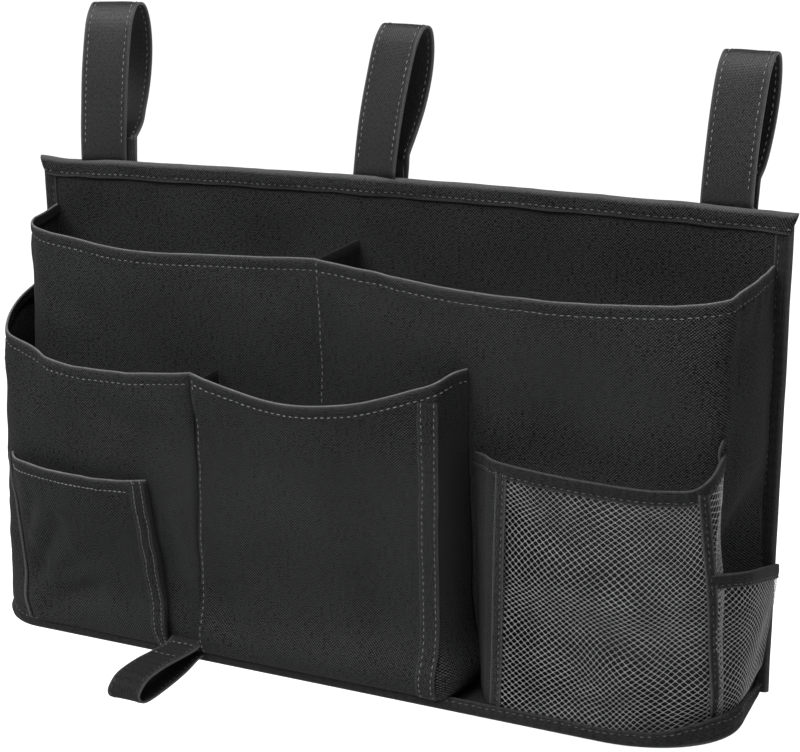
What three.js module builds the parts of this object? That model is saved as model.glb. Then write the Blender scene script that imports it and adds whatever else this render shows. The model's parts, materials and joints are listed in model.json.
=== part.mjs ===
import * as THREE from 'three';

// Bedside caddy: a stiffened back panel that hangs from a bed rail by three strap loops, with
// bellows pockets of black cloth and net sewn to its front over a stiff base.
// X runs along the bed, +Y points to the bed, +Z is up. Drafting is done from the panel: its
// front face is y = 0 and the top of its hem is z = 0. The last lines move the origin to the
// axis of the bed rail. All lengths are in millimetres, and names ending in Share have no unit.

// Overall sizes
const hemLength = 500;
const hemOverhang = 3;
const baseMargin = 3;
const panelWidth = hemLength - 2 * hemOverhang;
const caddyHeight = 290;
const baseWidth = panelWidth - 2 * baseMargin;
const baseDepth = 96;
const rearDepth = 60;
const topRise = 3.5;

// Cloth, boards and clearances
const seamGap = 0.3;
const footClearance = 1;
const liningCloth = 0.8;
const wallCloth = 1.2;
const panelBoard = 1.5;
const baseBoard = 2;
const hemHeight = 11;
const hemCloth = 1.2;
const bindingWidth = 10;
const bindingCloth = 0.8;
const tapeThickness = 1.6;
const tapeWidth = 8.5;
const bandHeight = 11;
const bandCloth = 1.4;

// Corners of the base, as quarter ellipses
const rightCornerWidth = 70;
const rightCornerDepth = 50;
const leftCornerWidth = 34;
const leftCornerDepth = 30;

// Rear pocket
const rearSideMargin = 5;
const rearSideX = baseWidth / 2 - rearSideMargin;
const rearMouthDrop = 34;
const rearSeamX = -17;
const rearBellyLeft = 5;
const rearBellyRight = 13;
const sideRoom = 21;

// Front pockets
const frontMouthDrop = 103;
const frontSeamX = -83;
const frontCrown = 6;
const frontSeamLean = 2;
const leftSideBelly = 3;
const centreCornerX = 75;
const centreStripWidth = 12;
const centreEndX = 84;
const stripStandOff = 0.5;

// Patch pocket, sewn onto the left pocket's front
const patchMouthDrop = 175;
const patchCornerTopX = -227;
const patchCornerFootX = -214;
const patchTopX = -119.5;
const patchFootX = -105;
const patchBelly = 9;
const patchStripWidth = 9;
const pipingWidth = 4;

// Net pocket and side pocket
const netMouthDrop = 134;
const netStartX = 88;
const netSideX = 113;
const netCornerMargin = 22;
const netCornerX = baseWidth / 2 - netCornerMargin;
const netThickness = 0.8;
const netCell = 12.5;
const netStrand = 2.2;
const cornerTapeWidth = 6;
const netCornerInset = 2.4;
const netCrown = 3;
const netSideBelly = 8;
const sideMouthFront = 184;
const sideMouthBack = 206;
const sideBelly = 7;
const sideSpread = 3;

// Hanging straps: place along the hem, loop height and depth, how far the top leans along the
// hem, and how far the tail lands beside the sewn-down end
const strapWidth = 31;
const strapThickness = 1.6;
const strapTailDrop = 78;
const strapHemClearance = 1.4;
const leftStrapMargin = 48.5;
const leftStrapX = leftStrapMargin - hemLength / 2;
const leftStrapHeight = 98;
const leftStrapDepth = 31;
const leftStrapLean = 10;
const leftStrapShift = 5;
const middleStrapX = -7.7;
const middleStrapHeight = 88.5;
const middleStrapDepth = 17;
const middleStrapLean = 16;
const middleStrapShift = 4;
const rightStrapMargin = 41;
const rightStrapX = hemLength / 2 - rightStrapMargin;
const rightStrapHeight = 83;
const rightStrapDepth = 18;
const rightStrapLean = 6.5;
const rightStrapShift = 1;
const closureThickness = 1.3;
const closureWidth = 27;
const closureMargin = 2;
const closureRise = 17;
const strapTwistDegrees = { left: 12, middle: -12, right: -9 };

// Bed rail that the straps go over
const railBehind = 11.5;
const railAbove = 61;

// Bottom strap
const footStrapWidth = 22;
const footStrapThickness = 1.4;
const footStrapX = -94;
const footStrapReach = 68;
const footStrapLoop = 14;
const footStrapSkew = 3;

// Faceting
const splineTension = 0.5;
const cornerSteps = 8;
const stepShare = 0.002;

const cloth = new THREE.MeshStandardMaterial({ color: 0x18181a, roughness: 0.86, metalness: 0 });
const lining = new THREE.MeshStandardMaterial({ color: 0x202022, roughness: 0.9, metalness: 0 });
const tape = new THREE.MeshStandardMaterial({ color: 0x111112, roughness: 0.75, metalness: 0 });
const webbing = new THREE.MeshStandardMaterial({ color: 0x262628, roughness: 0.8, metalness: 0 });
const netting = new THREE.MeshStandardMaterial({ color: 0x4a4a4c, roughness: 0.6, metalness: 0 });
const hookTape = new THREE.MeshStandardMaterial({ color: 0x050505, roughness: 0.95, metalness: 0 });
const board = new THREE.MeshStandardMaterial({ color: 0x8a8a86, roughness: 0.7, metalness: 0 });

const caddy = new THREE.Group();
caddy.name = 'bedside_caddy';
const { lerp, clamp, smoothstep, degToRad } = THREE.MathUtils;

function add(name, geometry, material) {
  const mesh = new THREE.Mesh(geometry, material);
  mesh.name = name;
  caddy.add(mesh);
  return mesh;
}

// Turns a triangle list right way round, so that its faces point out.
function closedGeometry(points, triangles) {
  let volume = 0;
  for (const [a, b, c] of triangles) {
    volume += points[a].dot(new THREE.Vector3().crossVectors(points[b], points[c]));
  }
  const index = triangles.flatMap(([a, b, c]) => (volume > 0 ? [a, b, c] : [a, c, b]));
  const geometry = new THREE.BufferGeometry().setFromPoints(points);
  geometry.setIndex(index);
  geometry.computeVertexNormals();
  return geometry;
}

// A thin solid between two grids of points, with hole edges where openShare is above zero:
// each cell then keeps only a frame whose bars take openShare of the cell from either side.
function shell(front, back, openShare = 0) {
  const points = [];
  const triangles = [];
  const keep = (point) => points.push(point) - 1;
  const rows = front.length;
  const columns = front[0].length;
  const ids = [front, back].map((grid) => grid.map((row) => row.map(keep)));
  const quad = (a, b, c, d) => triangles.push([a, b, c], [a, c, d]);
  const inner = (grid, i, j, s, t) => {
    const low = grid[i][j].clone().lerp(grid[i][j + 1], s);
    const high = grid[i + 1][j].clone().lerp(grid[i + 1][j + 1], s);
    return keep(low.lerp(high, t));
  };
  for (let i = 0; i < rows - 1; i += 1) {
    for (let j = 0; j < columns - 1; j += 1) {
      const outline = ids.map((id) => [id[i][j], id[i][j + 1], id[i + 1][j + 1], id[i + 1][j]]);
      if (openShare === 0) {
        quad(...outline[0]);
        quad(...outline[1].reverse());
        continue;
      }
      const spots = [[0, 0], [1, 0], [1, 1], [0, 1]];
      const inset = spots.map((spot) => spot.map((side) => lerp(openShare, 1 - openShare, side)));
      const holes = [front, back].map((grid) => inset.map(([s, t]) => inner(grid, i, j, s, t)));
      for (let k = 0; k < 4; k += 1) {
        const n = (k + 1) % 4;
        quad(outline[0][k], outline[0][n], holes[0][n], holes[0][k]);
        quad(outline[1][n], outline[1][k], holes[1][k], holes[1][n]);
        quad(holes[0][k], holes[0][n], holes[1][n], holes[1][k]);
      }
    }
  }
  const rim = [];
  for (let j = 0; j < columns; j += 1) rim.push([0, j]);
  for (let i = 1; i < rows; i += 1) rim.push([i, columns - 1]);
  for (let j = columns - 2; j >= 0; j -= 1) rim.push([rows - 1, j]);
  for (let i = rows - 2; i > 0; i -= 1) rim.push([i, 0]);
  rim.forEach(([i, j], k) => {
    const [m, n] = rim[(k + 1) % rim.length];
    quad(ids[0][m][n], ids[0][i][j], ids[1][i][j], ids[1][m][n]);
  });
  return closedGeometry(points, triangles);
}

// A skin is a curved cloth surface. Its plan is a list of [x, y, drop] for a height share h,
// from 0 on the base to 1 at the mouth; drop is how far the mouth lies under the hem there.
function skin(plan, foot) {
  return (u, h) => {
    const knots = plan(h).map(([x, y, drop]) => new THREE.Vector3(x, y, -drop));
    const curve = new THREE.CatmullRomCurve3(knots, false, 'catmullrom', splineTension);
    const place = curve.getPoint(clamp(u, 0, 1));
    place.z = lerp(foot, place.z, h);
    return place;
  };
}

// The way a skin faces: outwards from the panel where side is 1.
function facing(surface, u, h) {
  const step = stepShare;
  const along = surface(Math.min(u + step, 1), h).sub(surface(Math.max(u - step, 0), h));
  const up = surface(u, Math.min(h + step, 1)).sub(surface(u, Math.max(h - step, 0)));
  return along.cross(up).normalize();
}

// Share of the skin's run that a length takes, where its columns are closest together.
function runShare(surface, length, from, to) {
  const pace = [0, 0.5, 1].map((h) => surface(from, h).distanceTo(surface(to, h)));
  return (length * Math.abs(to - from)) / Math.min(...pace);
}

// Share of the skin's height at which it passes a level.
function levelShare(surface, u, level) {
  const foot = surface(u, 0).z;
  return clamp((level - foot) / (surface(u, 1).z - foot), 0, 1);
}

// Cuts a sheet from a skin: columns from u0 to u1, rows from h0(u) to h1(u).
function cut(surface, options) {
  const { u0 = 0, u1 = 1, h0 = () => 0, h1 = () => 1, across, up, thickness } = options;
  const { standOff = () => 0, startGap = 0, endGap = 0, openShare = 0, slant = () => 0 } = options;
  const start = u0 + runShare(surface, startGap, u0, lerp(u0, u1, 1 / across));
  const end = u1 - runShare(surface, endGap, lerp(u1, u0, 1 / across), u1);
  const layers = [0.5, -0.5].map((side) => {
    const rows = [];
    for (let i = 0; i <= up; i += 1) {
      const row = [];
      for (let j = 0; j <= across; j += 1) {
        const a = j / across;
        const b = i / up;
        const u = lerp(start, end, a) + slant(a, b);
        const h = lerp(h0(u), h1(u), b);
        const lift = standOff(a, b) + side * thickness;
        row.push(surface(u, h).addScaledVector(facing(surface, u, h), lift));
      }
      rows.push(row);
    }
    return rows;
  });
  return shell(layers[0], layers[1], openShare);
}

// The point of a skin at a given x, found along its run at one height share.
function runAt(surface, x, h, from = 0, to = 1) {
  let low = from;
  let high = to;
  const rising = surface(to, h).x > surface(from, h).x;
  for (let turn = 0; turn < 24; turn += 1) {
    const middle = (low + high) / 2;
    if (surface(middle, h).x < x === rising) low = middle;
    else high = middle;
  }
  return (low + high) / 2;
}

const bell = (share) => Math.sin(Math.PI * clamp(share, 0, 1));
const hemTop = (x) => topRise * (1 - (2 * x / hemLength) ** 2);
const panelDepth = 2 * liningCloth + panelBoard + 2 * seamGap;
const bindingFace = -(bindingCloth + seamGap);
const floorUnder = -caddyHeight;
const baseTop = floorUnder + 2 * liningCloth + baseBoard + 2 * seamGap;
const pocketFoot = baseTop + seamGap;
const baseRear = bindingFace - seamGap;
const rearEnd = baseRear - seamGap;

// Back panel: a board between two cloths. Their tops follow the rise of the hem.
function panelOutline(halfWidth, topClearance) {
  const outline = new THREE.Shape();
  outline.moveTo(-halfWidth, floorUnder);
  outline.lineTo(halfWidth, floorUnder);
  for (let step = 0; step <= cornerSteps; step += 1) {
    const x = lerp(halfWidth, -halfWidth, step / cornerSteps);
    outline.lineTo(x, hemTop(x) - topClearance);
  }
  return outline;
}

function upright(outline, depth, rear) {
  const geometry = new THREE.ExtrudeGeometry(outline, { depth, bevelEnabled: false });
  geometry.rotateX(Math.PI / 2);
  geometry.translate(0, rear, 0);
  return geometry;
}

const panelTop = hemCloth + seamGap;
const panelSheet = () => panelOutline(panelWidth / 2, panelTop);
add('back_cloth_front', upright(panelSheet(), liningCloth, liningCloth), cloth);
add('back_board', upright(panelSheet(), panelBoard, liningCloth + seamGap + panelBoard), board);
add('back_cloth_rear', upright(panelSheet(), liningCloth, panelDepth), lining);

// Top hem: a strip folded over the panel's top edge, swept along its rise.
function foldedStrip(stations, depthOfFold, thickness, clearance) {
  const outer = depthOfFold + thickness;
  const frontOut = -(clearance + thickness);
  const backOut = panelDepth + clearance + thickness;
  const section = [
    [frontOut, 0], [backOut, 0], [backOut, -outer], [panelDepth + clearance, -outer],
    [panelDepth + clearance, -thickness], [-clearance, -thickness], [-clearance, -outer],
    [frontOut, -outer],
  ];
  const points = [];
  const triangles = [];
  const ring = section.length;
  stations.forEach((place) => section.forEach(([y, d]) => points.push(place(y, d))));
  for (let i = 0; i < stations.length - 1; i += 1) {
    for (let k = 0; k < ring; k += 1) {
      const a = i * ring + k;
      const b = i * ring + ((k + 1) % ring);
      triangles.push([a, b, b + ring], [a, b + ring, a + ring]);
    }
  }
  const flat = section.map(([y, d]) => new THREE.Vector2(y, d));
  const last = (stations.length - 1) * ring;
  const turned = THREE.ShapeUtils.isClockWise(flat);
  for (const [a, b, c] of THREE.ShapeUtils.triangulateShape(flat, [])) {
    const [p, q] = turned ? [c, b] : [b, c];
    triangles.push([a, q, p], [last + a, last + p, last + q]);
  }
  return closedGeometry(points, triangles);
}

const hemStations = [];
for (let step = 0; step <= cornerSteps; step += 1) {
  const x = lerp(-hemLength / 2, hemLength / 2, step / cornerSteps);
  hemStations.push((y, d) => new THREE.Vector3(x, y, hemTop(x) + d));
}
add('top_hem', foldedStrip(hemStations, hemHeight - hemCloth, hemCloth, seamGap), cloth);

// Side bindings: the same fold, laid on its side and run down each edge under the hem.
for (const side of [-1, 1]) {
  const edge = side * (panelWidth / 2 + seamGap + bindingCloth);
  const bindingTop = hemTop(edge) - hemHeight - seamGap;
  const stations = [floorUnder, bindingTop].map((z) => (y, d) => new THREE.Vector3(edge + side * d, y, z));
  const name = side < 0 ? 'side_binding_left' : 'side_binding_right';
  add(name, foldedStrip(stations, bindingWidth - bindingCloth, bindingCloth, seamGap), tape);
}

// Base: cloth, board and cloth with one outline, and a band around its front and sides.
function baseOutline(inset) {
  const half = baseWidth / 2 - inset;
  const front = -(baseDepth - inset);
  const outline = new THREE.Shape();
  outline.moveTo(-half, baseRear);
  outline.lineTo(-half, front + leftCornerDepth);
  outline.absellipse(-half + leftCornerWidth, front + leftCornerDepth,
    leftCornerWidth, leftCornerDepth, Math.PI, 1.5 * Math.PI);
  outline.lineTo(half - rightCornerWidth, front);
  outline.absellipse(half - rightCornerWidth, front + rightCornerDepth,
    rightCornerWidth, rightCornerDepth, 1.5 * Math.PI, 2 * Math.PI);
  outline.lineTo(half, baseRear);
  return outline;
}

const baseInset = bandCloth + seamGap;
function basePlate(thickness, underside) {
  const options = { depth: thickness, bevelEnabled: false, curveSegments: cornerSteps };
  const geometry = new THREE.ExtrudeGeometry(baseOutline(baseInset), options);
  geometry.translate(0, 0, underside);
  return geometry;
}
const baseBoardUnder = floorUnder + liningCloth + seamGap;
add('base_cloth_under', basePlate(liningCloth, floorUnder), cloth);
add('base_board', basePlate(baseBoard, baseBoardUnder), board);
add('base_cloth_inner', basePlate(liningCloth, baseBoardUnder + baseBoard + seamGap), lining);

const bandOuter = baseOutline(0).getPoints(cornerSteps);
const bandInner = baseOutline(bandCloth).getPoints(cornerSteps);
const bandLevels = [floorUnder, floorUnder + bandHeight];
const bandGrid = (line) => bandLevels.map((z) => line.map((p) => new THREE.Vector3(p.x, p.y, z)));
add('base_band', shell(bandGrid(bandOuter), bandGrid(bandInner)), cloth);

// The pockets stand on the base just inside the band.
const wallInset = bandCloth + footClearance + wallCloth / 2;
const footHalf = baseWidth / 2 - wallInset;
const footFront = baseDepth - wallInset;

function cornerFoot(side, angleShare) {
  const [width, depth] = side > 0 ? [rightCornerWidth, rightCornerDepth] : [leftCornerWidth, leftCornerDepth];
  const angle = angleShare * Math.PI / 2;
  const x = side * (footHalf - width + width * Math.cos(angle));
  return [x, -(footFront - depth + depth * Math.sin(angle))];
}

// Where what lies outside a wall starts, clear of the band.
function aboveBand(surface) {
  return (u) => levelShare(surface, u, floorUnder + bandHeight + seamGap);
}

// Blends a foot place [x, y] and a mouth place [x, y, drop] by height.
function rising(foot, mouth, h) {
  return [lerp(foot[0], mouth[0], h), lerp(foot[1], mouth[1], h), mouth[2]];
}

// Rear pocket: one wall from edge to edge of the panel, pinned by a seam to its divider.
const rearMouthShares = { side: 0.86, sag: 1.15, belly: 1.27 };
const rearLeft = skin((h) => {
  const belly = rearBellyLeft * bell(0.35 + 0.4 * h);
  const span = rearSideX + rearSeamX;
  return [
    rising([-rearSideX, rearEnd], [-rearSideX, rearEnd, rearMouthDrop * rearMouthShares.side], h),
    rising([-rearSideX, -0.5 * rearDepth], [-0.975 * rearSideX, -0.55 * rearDepth,
      0.9 * rearMouthDrop], h),
    rising([-0.955 * rearSideX, -0.86 * rearDepth], [-0.92 * rearSideX, -0.9 * rearDepth,
      0.92 * rearMouthDrop], h),
    rising([-0.86 * rearSideX, -0.97 * rearDepth], [-0.8 * rearSideX, -rearDepth - 0.6 * belly,
      rearMouthDrop], h),
    rising([rearSeamX - 0.5 * span, -rearDepth], [rearSeamX - 0.5 * span, -rearDepth - belly,
      rearMouthDrop * rearMouthShares.sag], h),
    rising([rearSeamX, -rearDepth], [rearSeamX, -rearDepth, rearMouthDrop], h),
  ];
}, pocketFoot);

const rearRight = skin((h) => {
  const belly = rearBellyRight * bell(0.25 + 0.45 * h);
  const push = sideRoom * bell(h / 0.6) ** 2;
  const span = rearSideX - rearSeamX;
  const at = (share) => rearSeamX + share * span;
  return [
    rising([rearSeamX, -rearDepth], [rearSeamX, -rearDepth, rearMouthDrop], h),
    rising([at(0.25), -rearDepth], [at(0.25), -rearDepth - 0.7 * belly, 1.18 * rearMouthDrop], h),
    rising([at(0.52), -rearDepth], [at(0.52), -rearDepth - belly, rearMouthDrop * rearMouthShares.belly], h),
    rising([at(0.8), -rearDepth], [at(0.8), -rearDepth - 0.8 * belly, 1.2 * rearMouthDrop], h),
    rising([at(0.925), -0.99 * rearDepth], [at(0.95), -1.13 * rearDepth, 1.02 * rearMouthDrop], h),
    rising([at(0.96) - 0.3 * push, -0.87 * rearDepth], [at(0.975) - 0.3 * push, -0.88 * rearDepth,
      0.95 * rearMouthDrop], h),
    rising([rearSideX - push, -0.45 * rearDepth], [0.99 * rearSideX - push, -0.45 * rearDepth,
      0.88 * rearMouthDrop], h),
    rising([rearSideX, rearEnd], [rearSideX, rearEnd, rearMouthDrop * rearMouthShares.side], h),
  ];
}, pocketFoot);

add('rear_pocket_wall_left',
  cut(rearLeft, { across: 14, up: 5, thickness: wallCloth, endGap: seamGap }), cloth);
add('rear_pocket_wall_right',
  cut(rearRight, { across: 20, up: 8, thickness: wallCloth, startGap: seamGap }), cloth);

const dividerFront = rearDepth - wallCloth / 2 - 2 * seamGap;
const rearDivider = skin(() => [
  [rearSeamX, -seamGap, rearMouthDrop],
  [rearSeamX, -dividerFront / 2, rearMouthDrop],
  [rearSeamX, -dividerFront, rearMouthDrop],
], pocketFoot);
add('rear_pocket_divider', cut(rearDivider, { across: 2, up: 2, thickness: wallCloth }), lining);

// How far forward the rear pocket's face lies at x and height z, with room for a seam.
function rearFace(x, z) {
  const surface = x < rearSeamX ? rearLeft : rearRight;
  let h = 0.5;
  let u = 0.5;
  for (let turn = 0; turn < 8; turn += 1) {
    u = x < rearSeamX ? runAt(surface, x, h, 0.6, 1) : runAt(surface, x, h, 0, 0.62);
    h = levelShare(surface, u, z);
  }
  return surface(u, h).y - wallCloth / 2;
}
const endOnRear = (x, drop, h) => rearFace(x, lerp(pocketFoot, -drop, h)) - 2 * seamGap;

// Left pocket: a gusset from the panel's edge and a front from the corner to the seam.
const leftSkin = skin((h) => {
  const press = 0.35 * patchBelly * bell(h / 0.8);
  const side = footHalf + leftSideBelly * bell(0.5 * h + 0.25);
  return [
    rising([-footHalf, -0.17 * baseDepth], [-side, -0.17 * baseDepth, 0.75 * frontMouthDrop], h),
    rising([-footHalf, -0.42 * baseDepth], [-side, -0.42 * baseDepth, 0.82 * frontMouthDrop], h),
    rising(cornerFoot(-1, 0.05), [-0.985 * side, -0.62 * baseDepth, 0.9 * frontMouthDrop], h),
    rising(cornerFoot(-1, 0.5), [-0.945 * side, -0.78 * baseDepth, 0.95 * frontMouthDrop], h),
    rising(cornerFoot(-1, 0.95), [-0.86 * side, -0.87 * baseDepth, 0.98 * frontMouthDrop], h),
    rising([-0.745 * footHalf, -footFront], [-0.73 * side, press - footFront - 0.2 * frontCrown,
      1.03 * frontMouthDrop], h),
    rising([-0.54 * footHalf, -footFront], [-0.53 * side, press - footFront - 0.7 * frontCrown,
      1.035 * frontMouthDrop], h),
    rising([frontSeamX, -footFront], [frontSeamX, -footFront - frontSeamLean, 0.985 * frontMouthDrop], h),
  ];
}, pocketFoot);
const leftGussetShare = 3.5 / 7;
add('left_pocket_gusset', cut(leftSkin,
  { u1: leftGussetShare, across: 8, up: 5, thickness: wallCloth, endGap: seamGap / 2 }), cloth);
add('left_pocket_front', cut(leftSkin,
  { u0: leftGussetShare, across: 10, up: 6, thickness: wallCloth, startGap: seamGap / 2,
    endGap: seamGap / 2 + wallCloth / 4 }), cloth);

// Centre pocket: front, edge-stitched strip at its corner, and a gusset back to the rear wall.
const centreSkin = skin((h) => {
  const crown = frontCrown;
  const frontY = -footFront;
  return [
    rising([frontSeamX, frontY], [frontSeamX, frontY - frontSeamLean, 0.985 * frontMouthDrop], h),
    rising([0.66 * frontSeamX, frontY], [0.67 * frontSeamX, frontY - 0.7 * crown, 1.05 * frontMouthDrop], h),
    rising([0.2 * frontSeamX, frontY], [0.23 * frontSeamX, frontY - crown, 1.085 * frontMouthDrop], h),
    rising([0.4 * centreCornerX, frontY], [0.32 * centreCornerX, frontY - crown, 1.035 * frontMouthDrop], h),
    rising([0.8 * centreCornerX, frontY], [0.8 * centreCornerX, frontY - 0.6 * crown,
      0.925 * frontMouthDrop], h),
    rising([centreCornerX, frontY], [centreCornerX, frontY - frontSeamLean, 0.87 * frontMouthDrop], h),
    rising([0.4 * centreCornerX + 0.6 * centreEndX, 0.87 * frontY], [0.4 * centreCornerX + 0.6 * centreEndX,
      0.87 * frontY, 0.845 * frontMouthDrop], h),
    [centreEndX, endOnRear(centreEndX, 0.845 * frontMouthDrop, h), 0.845 * frontMouthDrop],
  ];
}, pocketFoot);
const centreCornerShare = 5 / 7;
const stripShare = runShare(centreSkin, centreStripWidth, 4 / 7, centreCornerShare);
add('centre_pocket_front', cut(centreSkin, { u1: centreCornerShare - stripShare, across: 12, up: 5,
  thickness: wallCloth, startGap: seamGap / 2 + wallCloth / 4, endGap: seamGap / 2 }), cloth);
add('centre_pocket_edge_strip', cut(centreSkin, { u0: centreCornerShare - stripShare,
  u1: centreCornerShare, h0: aboveBand(centreSkin), across: 3, up: 5,
  thickness: wallCloth + 2 * stripStandOff, startGap: seamGap / 2, endGap: seamGap / 2,
  standOff: () => stripStandOff }), tape);
add('centre_pocket_gusset', cut(centreSkin, { u0: centreCornerShare, across: 6, up: 5,
  thickness: wallCloth, startGap: seamGap + wallCloth / 2, endGap: 0 }), cloth);

// Divider between the left and centre pockets.
const frontDivider = skin((h) => {
  const drop = frontMouthDrop + hemHeight / 2;
  const rear = endOnRear(frontSeamX, drop, h);
  const front = -footFront - frontSeamLean * h + wallCloth / 2 + 2 * seamGap;
  return [
    [frontSeamX, rear, drop], [frontSeamX, (rear + front) / 2, drop], [frontSeamX, front, drop],
  ];
}, pocketFoot);
add('front_pocket_divider', cut(frontDivider, { across: 2, up: 4, thickness: wallCloth }), lining);

// Patch pocket: stands off the left pocket's front, from piping at the corner to a slanting strip.
const patchLift = wallCloth + seamGap;
const patchStartTopShare = runAt(leftSkin, patchCornerTopX, 0.6, 0.3, 0.8);
const patchStartFootShare = runAt(leftSkin, patchCornerFootX, 0, 0.3, 0.8);
const patchEndTopShare = runAt(leftSkin, patchTopX, 0.6, 0.5, 1);
const patchEndFootShare = runAt(leftSkin, patchFootX, 0, 0.5, 1);
const patchLevel = (u) => levelShare(leftSkin, u, -patchMouthDrop);
const patchFoot = aboveBand(leftSkin);
const patchSkin = (a, b) => {
  const start = lerp(patchStartFootShare, patchStartTopShare, b);
  const u = lerp(start, lerp(patchEndFootShare, patchEndTopShare, b), a);
  const h = lerp(patchFoot(u), patchLevel(u), b);
  const lift = patchLift + patchBelly * bell(a) * smoothstep(b, 0, 0.7);
  return leftSkin(u, h).addScaledVector(facing(leftSkin, u, h), lift);
};
const patchRun = patchTopX - patchCornerTopX;
const patchStripShare = patchStripWidth / patchRun;
const pipingShare = pipingWidth / patchRun;
add('patch_pocket_corner_piping', cut(patchSkin, { u1: pipingShare, across: 2, up: 6,
  thickness: wallCloth + 2 * stripStandOff, endGap: seamGap / 2, standOff: () => stripStandOff }), tape);
add('patch_pocket_front', cut(patchSkin, { u0: pipingShare, u1: 1 - patchStripShare, across: 12, up: 5,
  thickness: wallCloth, startGap: seamGap / 2, endGap: seamGap / 2 }), cloth);
add('patch_pocket_edge_strip', cut(patchSkin, { u0: 1 - patchStripShare, across: 2, up: 5,
  thickness: wallCloth, startGap: seamGap / 2 }), tape);

// Net pocket: a cloth gusset slanting out of the rear wall, then net round to the far corner.
const netEndShare = 4.4 / 7;
const netSkin = skin((h) => {
  const frontY = -footFront;
  const inset = ([x, y]) => [x - netCornerInset, y + netCornerInset];
  const level = lerp(pocketFoot, -0.9 * netMouthDrop, h);
  const wallHeight = levelShare(rearRight, netEndShare, level);
  const end = rearRight(netEndShare, wallHeight).addScaledVector(
    facing(rearRight, netEndShare, wallHeight), wallCloth + 2 * seamGap);
  const bulge = netSideBelly * bell(h / 0.95);
  return [
    [netStartX, endOnRear(netStartX, netMouthDrop, h), 1.02 * netMouthDrop],
    rising([lerp(netStartX, netSideX, 0.4), 0.85 * frontY], [lerp(netStartX, netSideX, 0.4), 0.85 * frontY,
      netMouthDrop], h),
    rising([0.965 * netSideX, 0.98 * frontY], [netSideX, frontY, 0.985 * netMouthDrop], h),
    rising([1.33 * netSideX, frontY], [1.33 * netSideX, frontY - netCrown, netMouthDrop], h),
    rising([1.62 * netSideX, 0.995 * frontY], [1.68 * netSideX, frontY - 0.7 * netCrown,
      1.01 * netMouthDrop], h),
    rising(inset(cornerFoot(1, 0.66)), [1.85 * netSideX, frontY, 1.005 * netMouthDrop], h),
    rising(inset(cornerFoot(1, 0.4)), [netCornerX, 0.975 * frontY, 0.99 * netMouthDrop], h),
    rising(inset(cornerFoot(1, 0.2)), [1.035 * netCornerX + 0.7 * bulge, 0.92 * frontY,
      0.94 * netMouthDrop], h),
    [end.x, end.y, 0.9 * netMouthDrop],
  ];
}, pocketFoot);

// The corner tape follows the net's corner; the top tape runs along its whole mouth.
const netGussetShare = 2 / 8;
const netTapeShare = 6.45 / 8;
const netTapeHalfShare = runShare(netSkin, cornerTapeWidth / 2, netTapeShare, 7 / 8);
const netTapeStartShare = netTapeShare - netTapeHalfShare;
const netTapeEndShare = netTapeShare + netTapeHalfShare;

function underTape(surface) {
  return (u) => levelShare(surface, u, surface(u, 1).z - tapeWidth - seamGap);
}

function tapeFoot(surface) {
  return (u) => levelShare(surface, u, surface(u, 1).z - tapeWidth);
}

// A net's cells are as near to netCell as whole numbers of them allow.
function netCut(surface, u0, u1, gaps) {
  const middle = (u0 + u1) / 2;
  const top = underTape(surface);
  const run = surface(u0, 0.5).distanceTo(surface(u1, 0.5));
  const rise = surface(middle, top(middle)).z - surface(middle, 0).z;
  const across = Math.max(Math.round(run / netCell), 2);
  const up = Math.max(Math.round(rise / netCell), 2);
  const openShare = netStrand / 2 / Math.max(run / across, rise / up);
  return cut(surface, { u0, u1, h1: top, across, up, thickness: netThickness, openShare, ...gaps });
}

add('net_pocket_gusset', cut(netSkin, { u1: netGussetShare, h1: underTape(netSkin), across: 5, up: 5,
  thickness: wallCloth, endGap: seamGap / 2 }), cloth);
add('net_pocket_net_front', netCut(netSkin, netGussetShare, netTapeStartShare,
  { startGap: seamGap / 2, endGap: seamGap / 2 }), netting);
add('net_pocket_corner_tape', cut(netSkin, { u0: netTapeStartShare, u1: netTapeEndShare,
  h1: underTape(netSkin), across: 2, up: 7, thickness: tapeThickness, startGap: seamGap / 2,
  endGap: seamGap / 2 }), tape);
add('net_pocket_net_side', netCut(netSkin, netTapeEndShare, 1, { startGap: seamGap / 2 }), netting);
add('net_pocket_top_tape', cut(netSkin, { h0: tapeFoot(netSkin), across: 20, up: 1,
  thickness: tapeThickness, startGap: tapeThickness, endGap: tapeThickness }), tape);

// Side pocket: net from the outside of the corner tape back to the panel's edge.
const sideLift = tapeThickness + seamGap;
const sideSkin = skin((h) => {
  const drop = sideMouthFront;
  const tapeLevel = lerp(pocketFoot, -drop, h);
  const tapeHeight = levelShare(netSkin, netTapeEndShare, tapeLevel);
  const start = netSkin(netTapeEndShare, tapeHeight)
    .addScaledVector(facing(netSkin, netTapeEndShare, tapeHeight), sideLift);
  const belly = sideBelly * bell(h / 1.3);
  const fall = sideMouthBack - sideMouthFront;
  const side = footHalf + sideSpread * smoothstep(h, 0.05, 0.2);
  return [
    [start.x, start.y, drop],
    rising(cornerFoot(1, 0.08), [1.02 * footHalf, -0.66 * baseDepth, drop + 0.12 * fall], h),
    rising([side, -0.36 * baseDepth], [side + belly, -0.36 * baseDepth, drop + 0.5 * fall], h),
    rising([side, rearEnd], [side + 0.5 * belly, rearEnd, sideMouthBack], h),
  ];
}, pocketFoot);
add('side_pocket_net', netCut(sideSkin, 0, 1, {}), netting);
add('side_pocket_tape', cut(sideSkin, { h0: tapeFoot(sideSkin), across: 10, up: 1,
  thickness: tapeThickness }), tape);

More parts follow.
